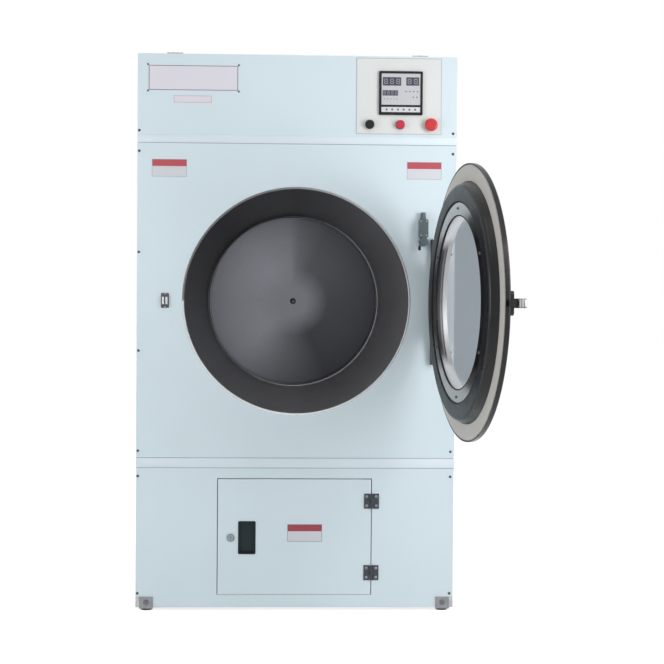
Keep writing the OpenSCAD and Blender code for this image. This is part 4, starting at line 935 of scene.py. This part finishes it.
class DRIER_OT_door(bpy.types.Operator):
    """Screws the window's ring and the hinge leaves, and lines the window with a sleeve, its finish a
    painted reflection, and a rubber lip
    """

    bl_idname = "drier.door"
    bl_label = "Door Fittings"

    def execute(self, context):
        sizes = context.scene.drier_sizes
        face = DOOR_OUT + 40 * MM
        places = []
        for i in range(sizes.bezel_screws):
            turn = math.radians(90 + 360 * i / sizes.bezel_screws)
            across, up = BEZEL_SCREW_CIRCLE * math.cos(turn), BEZEL_SCREW_CIRCLE * math.sin(turn)
            places.append((across, face, DRUM_Z + up))
        made = at_open_door(screws(places, sizes.bezel_screw, TO_BACK))
        dress(made, "bezel_screws", "door", "screw")
        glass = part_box("window_glass")
        radius = (glass[1].z - glass[0].z) / 2 - 12 * MM
        glass_front = DOOR_OUT + 37 * MM
        start = (0, DOOR_OUT + 0.3 * MM, DRUM_Z)
        # The sleeve's finish paints reflections on it
        sleeve = ring(start, TO_BACK, radius + 1.7 * MM, radius + 0.9 * MM, 30 * MM, 160)
        dress(at_open_door(sleeve), "window_sleeve", "door", "sleeve")
        start = (0, glass_front, DRUM_Z)
        lip = ring(start, TO_BACK, radius + 0.5 * MM, radius - 1.5 * MM, 3.2 * MM, 160)
        dress(at_open_door(lip), "window_lip", "door", "rubber")
        leaf = DOOR_OUT - 4 * MM
        rows = (-0.095, -0.032, 0.032, 0.095)
        places = [(x, leaf, DRUM_Z + z) for x in (0.356, 0.400) for z in rows]
        made = at_open_door(screws(places, 6 * MM, TO_FRONT))
        dress(made, "door_leaf_screws", "door", "screw")
        places = [(0.466, FRONT - 4 * MM, DRUM_Z + z) for z in (-0.17, -0.085, 0, 0.085, 0.17)]
        fasten(places, 6 * MM, "cabinet_leaf_screws")
        return {"FINISHED"}


class DRIER_OT_handle(bpy.types.Operator):
    """Adds the handle's second step, its ribbed pedestal and the bands of the grip"""

    bl_idname = "drier.handle"
    bl_label = "Handle Details"

    def execute(self, context):
        parts = [slab((HANDLE_X, DOOR_OUT - 6.2 * MM, DRUM_Z), (0.052, 4.4 * MM, 0.046), 0.008)]
        for z in (-0.008, 0, 0.008):
            place = (HANDLE_X + 0.016, DOOR_OUT - 12 * MM, DRUM_Z + z)
            parts.append(block(place, (0.012, 0.012, 0.002), 0.0004))
        dress(at_open_door(join(parts)), "handle_steps", "door", "black")
        # The softened grip takes the chrome finish with its painted reflection bands
        closed_copy("door_grip", "door_grip_soft", 2.5 * MM, "chrome", 3, 50)
        slots = [
            slab((-0.3505, DOOR_OUT - out * MM, DRUM_Z), (0.0954, wide * MM, 0.0254), 0.0006)
            for out, wide in ((22, 1.8), (29, 1.4), (38, 2.6))
        ]
        dress(at_open_door(join(slots)), "grip_slots", "door", "black_plastic")
        return {"FINISHED"}


class DRIER_OT_lint_hinges(bpy.types.Operator):
    """Screws the lint door's hinges with bright screws"""

    bl_idname = "drier.lint_hinges"
    bl_label = "Lint Hinge Screws"

    def execute(self, context):
        radius = context.scene.drier_sizes.hinge_screw
        axis = next(j for j in frame["joints"] if j["name"] == "lint_door_hinge")["pos_m"]
        for side, body, name in ((-1, "lint_access_door", "door"), (1, "cabinet", "panel")):
            places = [
                (axis[0] + side * 15 * MM, FRONT - 2.5 * MM, axis[2] + z + dz)
                for z in (-0.113, 0.113)
                for dz in (-0.0145, 0.0145)
            ]
            fasten(places, radius, f"lint_hinge_screws_{name}", body, "zinc")
        return {"FINISHED"}


class DRIER_OT_lock_outline(bpy.types.Operator):
    """Lays the dark ring and the key slot on the lint door's lock"""

    bl_idname = "drier.lock_outline"
    bl_label = "Lock Outline"

    def execute(self, context):
        axis = next(j for j in frame["joints"] if j["name"] == "lint_lock_turn")["pos_m"]
        start = (axis[0], FRONT - 0.2 * MM, axis[2])
        rim = ring(start, TO_FRONT, LOCK_OUTER, LOCK_INNER, 3.1 * MM, 48)
        slot = block((axis[0], FRONT - 3.55 * MM, axis[2]), (0.0014, 0.0006, 0.009))
        dress(join([rim, slot]), "lock_outline", "cam_lock", "screw")
        return {"FINISHED"}


class DRIER_OT_feet(bpy.types.Operator):
    """Bolts the front foot brackets and closes the corners beside them"""

    bl_idname = "drier.feet"
    bl_label = "Foot Bolts and Corners"

    def execute(self, context):
        profile = [(0.009, 0), (0.009, 0.001), (0.0055, 0.001), (0.0055, 0.004), (0.004, 0.0046)]
        bolt = spindle((-FOOT_BOLT_X, FRONT - 3 * MM, FOOT_BOLT_Z), TO_FRONT, profile, 24)
        made = copies(bolt, [(2 * FOOT_BOLT_X, 0, 0)])
        dress(made, "foot_bolts", "cabinet", "screw")
        corner = slab((LEFT + 5.6 * MM, FRONT - 0.5 * MM, 0.0272), (0.0112, 0.001, 0.034), 0.0008)
        across = RIGHT - LEFT - 11.2 * MM
        made = copies(corner, [(across, 0, 0)])
        dress(made, "foot_corners", "cabinet", "zinc")
        return {"FINISHED"}


class DRIER_OT_catch_and_switch(bpy.types.Operator):
    """Adds the screws of the catch and of the limit switch"""

    bl_idname = "drier.catch_and_switch"
    bl_label = "Catch and Switch"

    def execute(self, context):
        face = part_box("switch_body")[0].y
        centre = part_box("catch_base")
        x = (centre[0].x + centre[1].x) / 2
        places = [(x, FRONT - 1 * MM, DRUM_Z + z) for z in (-0.0195, 0.0195)]
        fasten(places, 2.6 * MM, "catch_screws", finish="bright")
        rows = (SWITCH_Z - 0.0225, SWITCH_Z + 0.0225)
        places = [(x, face, z) for x in (SWITCH_X - 0.0095, SWITCH_X + 0.0095) for z in rows]
        fasten(places, 2.4 * MM, "switch_screws", finish="bright")
        bar = (0.023, 0.0012, 0.0018)
        rib = [block((SWITCH_X, face - 0.0004, SWITCH_Z + dz), bar, 0.0003) for dz in (-0.008, 0.008)]
        dress(join(rib), "switch_ribs", "cabinet", "switch")
        return {"FINISHED"}


class DRIER_OT_drum(bpy.types.Operator):
    """Lays the bright bead round the drum's disc, its finish a painted highlight, and small bright ticks on
    its cone
    """

    bl_idname = "drier.drum"
    bl_label = "Drum Bead and Ticks"

    def execute(self, context):
        low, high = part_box("drum_back_plate")
        seat = high.y - 4 * MM
        reach = (high.x - low.x) / 2 - 4 * MM
        # The bead's finish carries a painted highlight
        bead = hoop(seat, reach, 2.8 * MM, 160, 12)
        dress(bead, "disc_bead", "drum", "bead")
        # Small bright ticks on the cone
        ticks = []
        profile = [(1.2 * MM, 0), (1.2 * MM, 6 * MM), (0.6 * MM, 8 * MM)]
        for turn in (222, 228, 312):
            angle = math.radians(turn)
            for step in range(3):
                out = 0.322 + 0.004 * step
                place = (out * math.cos(angle), 0.120 - 0.012 * step, DRUM_Z + out * math.sin(angle))
                ticks.append(spindle(place, TO_FRONT, profile, 8))
        dress(join(ticks), "cone_ticks", "drum", "bright")
        return {"FINISHED"}


def plain(tree, kind, colour, strength=1.0):
    """A glow or a background of one colour."""
    made = tree.nodes.new(kind)
    made.inputs["Color"].default_value = (*colour, 1)
    made.inputs["Strength"].default_value = strength
    return made


def ray_kinds(tree):
    """The light path node, and 1 for a ray that comes from the camera or a mirroring face."""
    path = tree.nodes.new("ShaderNodeLightPath")
    seen = tree.nodes.new("ShaderNodeMath")
    seen.operation = "MAXIMUM"
    tree.links.new(path.outputs["Is Camera Ray"], seen.inputs[0])
    tree.links.new(path.outputs["Is Glossy Ray"], seen.inputs[1])
    return path, seen.outputs[0]


def choose(tree, factor, first, second):
    """The first shader where the factor is 0 and the second where it is 1."""
    made = tree.nodes.new("ShaderNodeMixShader")
    tree.links.new(factor, made.inputs["Fac"])
    tree.links.new(first.outputs[0], made.inputs[1])
    tree.links.new(second.outputs[0], made.inputs[2])
    return made


class DRIER_OT_stage(bpy.types.Operator):
    """Lays the pale floor, hangs the lamps and sets the camera"""

    bl_idname = "drier.stage"
    bl_label = "Stage"

    def execute(self, context):
        nothing()
        bpy.ops.mesh.primitive_plane_add(size=60, location=(0, 0, 0))
        floor = bpy.context.object
        floor.name = "studio_floor"
        settle(floor)
        paint = bpy.data.materials.new("Pale floor")
        paint.use_nodes = True
        tree = paint.node_tree
        tree.nodes.clear()
        out = tree.nodes.new("ShaderNodeOutputMaterial")
        matt = tree.nodes.new("ShaderNodeBsdfDiffuse")
        matt.inputs["Color"].default_value = (0.8, 0.8, 0.8, 1)
        glow = tree.nodes.new("ShaderNodeEmission")
        path, seen = ray_kinds(tree)
        tree.links.new(maths(tree, "MULTIPLY", seen, 0.8), glow.inputs["Strength"])
        both = tree.nodes.new("ShaderNodeAddShader")
        tree.links.new(matt.outputs[0], both.inputs[0])
        tree.links.new(glow.outputs[0], both.inputs[1])
        behind = plain(tree, "ShaderNodeEmission", BEHIND_GLASS)
        last = choose(tree, path.outputs["Is Transmission Ray"], both, behind)
        tree.links.new(last.outputs[0], out.inputs["Surface"])
        floor.data.materials.append(paint)

        world = bpy.data.worlds.new("Studio")
        context.scene.world = world
        world.use_nodes = True
        tree = world.node_tree
        tree.nodes.clear()
        out = tree.nodes.new("ShaderNodeOutputWorld")
        path, seen = ray_kinds(tree)
        light = plain(tree, "ShaderNodeBackground", (0.97, 0.985, 1), 0.3)
        white = plain(tree, "ShaderNodeBackground", (1, 1, 1))
        behind = plain(tree, "ShaderNodeBackground", BEHIND_GLASS)
        open_air = choose(tree, seen, light, white)
        last = choose(tree, path.outputs["Is Transmission Ray"], open_air, behind)
        tree.links.new(last.outputs[0], out.inputs["Surface"])

        for name, place, aim, size, power in (
            ("Right softbox", (2.3, -2.4, 1.0), (0.2, -0.55, 1.0), 1.0, 22),
            ("Left softbox", (-1.8, -1.9, 1.2), (-0.2, -0.55, 1.0), 1.0, 15.2),
            ("Near softbox", (1.4, -2.0, 1.7), (0.2, -0.55, 1.0), 0.8, 11.5),
            ("Top softbox", (0.4, -2.2, 3.6), (0.1, -0.4, 1.3), 2.0, 13),
            ("Rear softbox", (-0.8, 4.0, 2.4), (0, 0.5, 0.9), 2.4, 55),
        ):
            lamp = bpy.data.lights.new(name, "AREA")
            lamp.size = size
            lamp.energy = power
            holder = bpy.data.objects.new(name, lamp)
            context.scene.collection.objects.link(holder)
            holder.location = place
            holder.rotation_euler = (Vector(aim) - Vector(place)).to_track_quat("-Z", "Y").to_euler()

        eye = bpy.data.cameras.new("Camera")
        eye.lens = 86.285
        eye.sensor_width = 36
        eye.clip_end = 100
        camera = bpy.data.objects.new("Camera", eye)
        context.scene.collection.objects.link(camera)
        camera.location = (-0.0895, -5.5476, 0.9805)
        yaw, pitch, roll = math.radians(2.3076), math.radians(-1.1623), math.radians(0.4161)
        ahead = Vector((math.sin(yaw) * math.cos(pitch), math.cos(yaw) * math.cos(pitch), math.sin(pitch)))
        right = ahead.cross(Vector((0, 0, 1))).normalized()
        up = right.cross(ahead)
        side = math.cos(roll) * right + math.sin(roll) * up
        top = -math.sin(roll) * right + math.cos(roll) * up
        camera.rotation_euler = Matrix((side, top, -ahead)).transposed().to_euler()
        context.scene.camera = camera
        context.scene.view_settings.view_transform = "Standard"
        return {"FINISHED"}


class DRIER_PT_panel(bpy.types.Panel):
    """Lists the steps that dress the drier"""

    bl_idname = "DRIER_PT_panel"
    bl_label = "Tumble Drier"
    bl_space_type = "VIEW_3D"
    bl_region_type = "UI"
    bl_category = "Drier"

    def draw(self, context):
        for step in STEPS:
            self.layout.operator(step.bl_idname)


STEPS = (
    DRIER_OT_stage,
    DRIER_OT_finishes,
    DRIER_OT_panel_screws,
    DRIER_OT_rear_cover,
    DRIER_OT_plates,
    DRIER_OT_seams,
    DRIER_OT_controller,
    DRIER_OT_door,
    DRIER_OT_handle,
    DRIER_OT_lint_hinges,
    DRIER_OT_lock_outline,
    DRIER_OT_feet,
    DRIER_OT_catch_and_switch,
    DRIER_OT_drum,
)
GROUPS = (DrierColours, DrierSizes)


def register():
    for cls in (*GROUPS, *STEPS, DRIER_PT_panel):
        bpy.utils.register_class(cls)
    bpy.types.Scene.drier_colours = PointerProperty(type=DrierColours)
    bpy.types.Scene.drier_sizes = PointerProperty(type=DrierSizes)


def unregister():
    del bpy.types.Scene.drier_sizes
    del bpy.types.Scene.drier_colours
    for cls in reversed((*GROUPS, *STEPS, DRIER_PT_panel)):
        bpy.utils.unregister_class(cls)


def main():
    register()
    for step in STEPS:
        group, name = step.bl_idname.split(".")
        getattr(getattr(bpy.ops, group), name)()


if __name__ == "__main__":
    main()
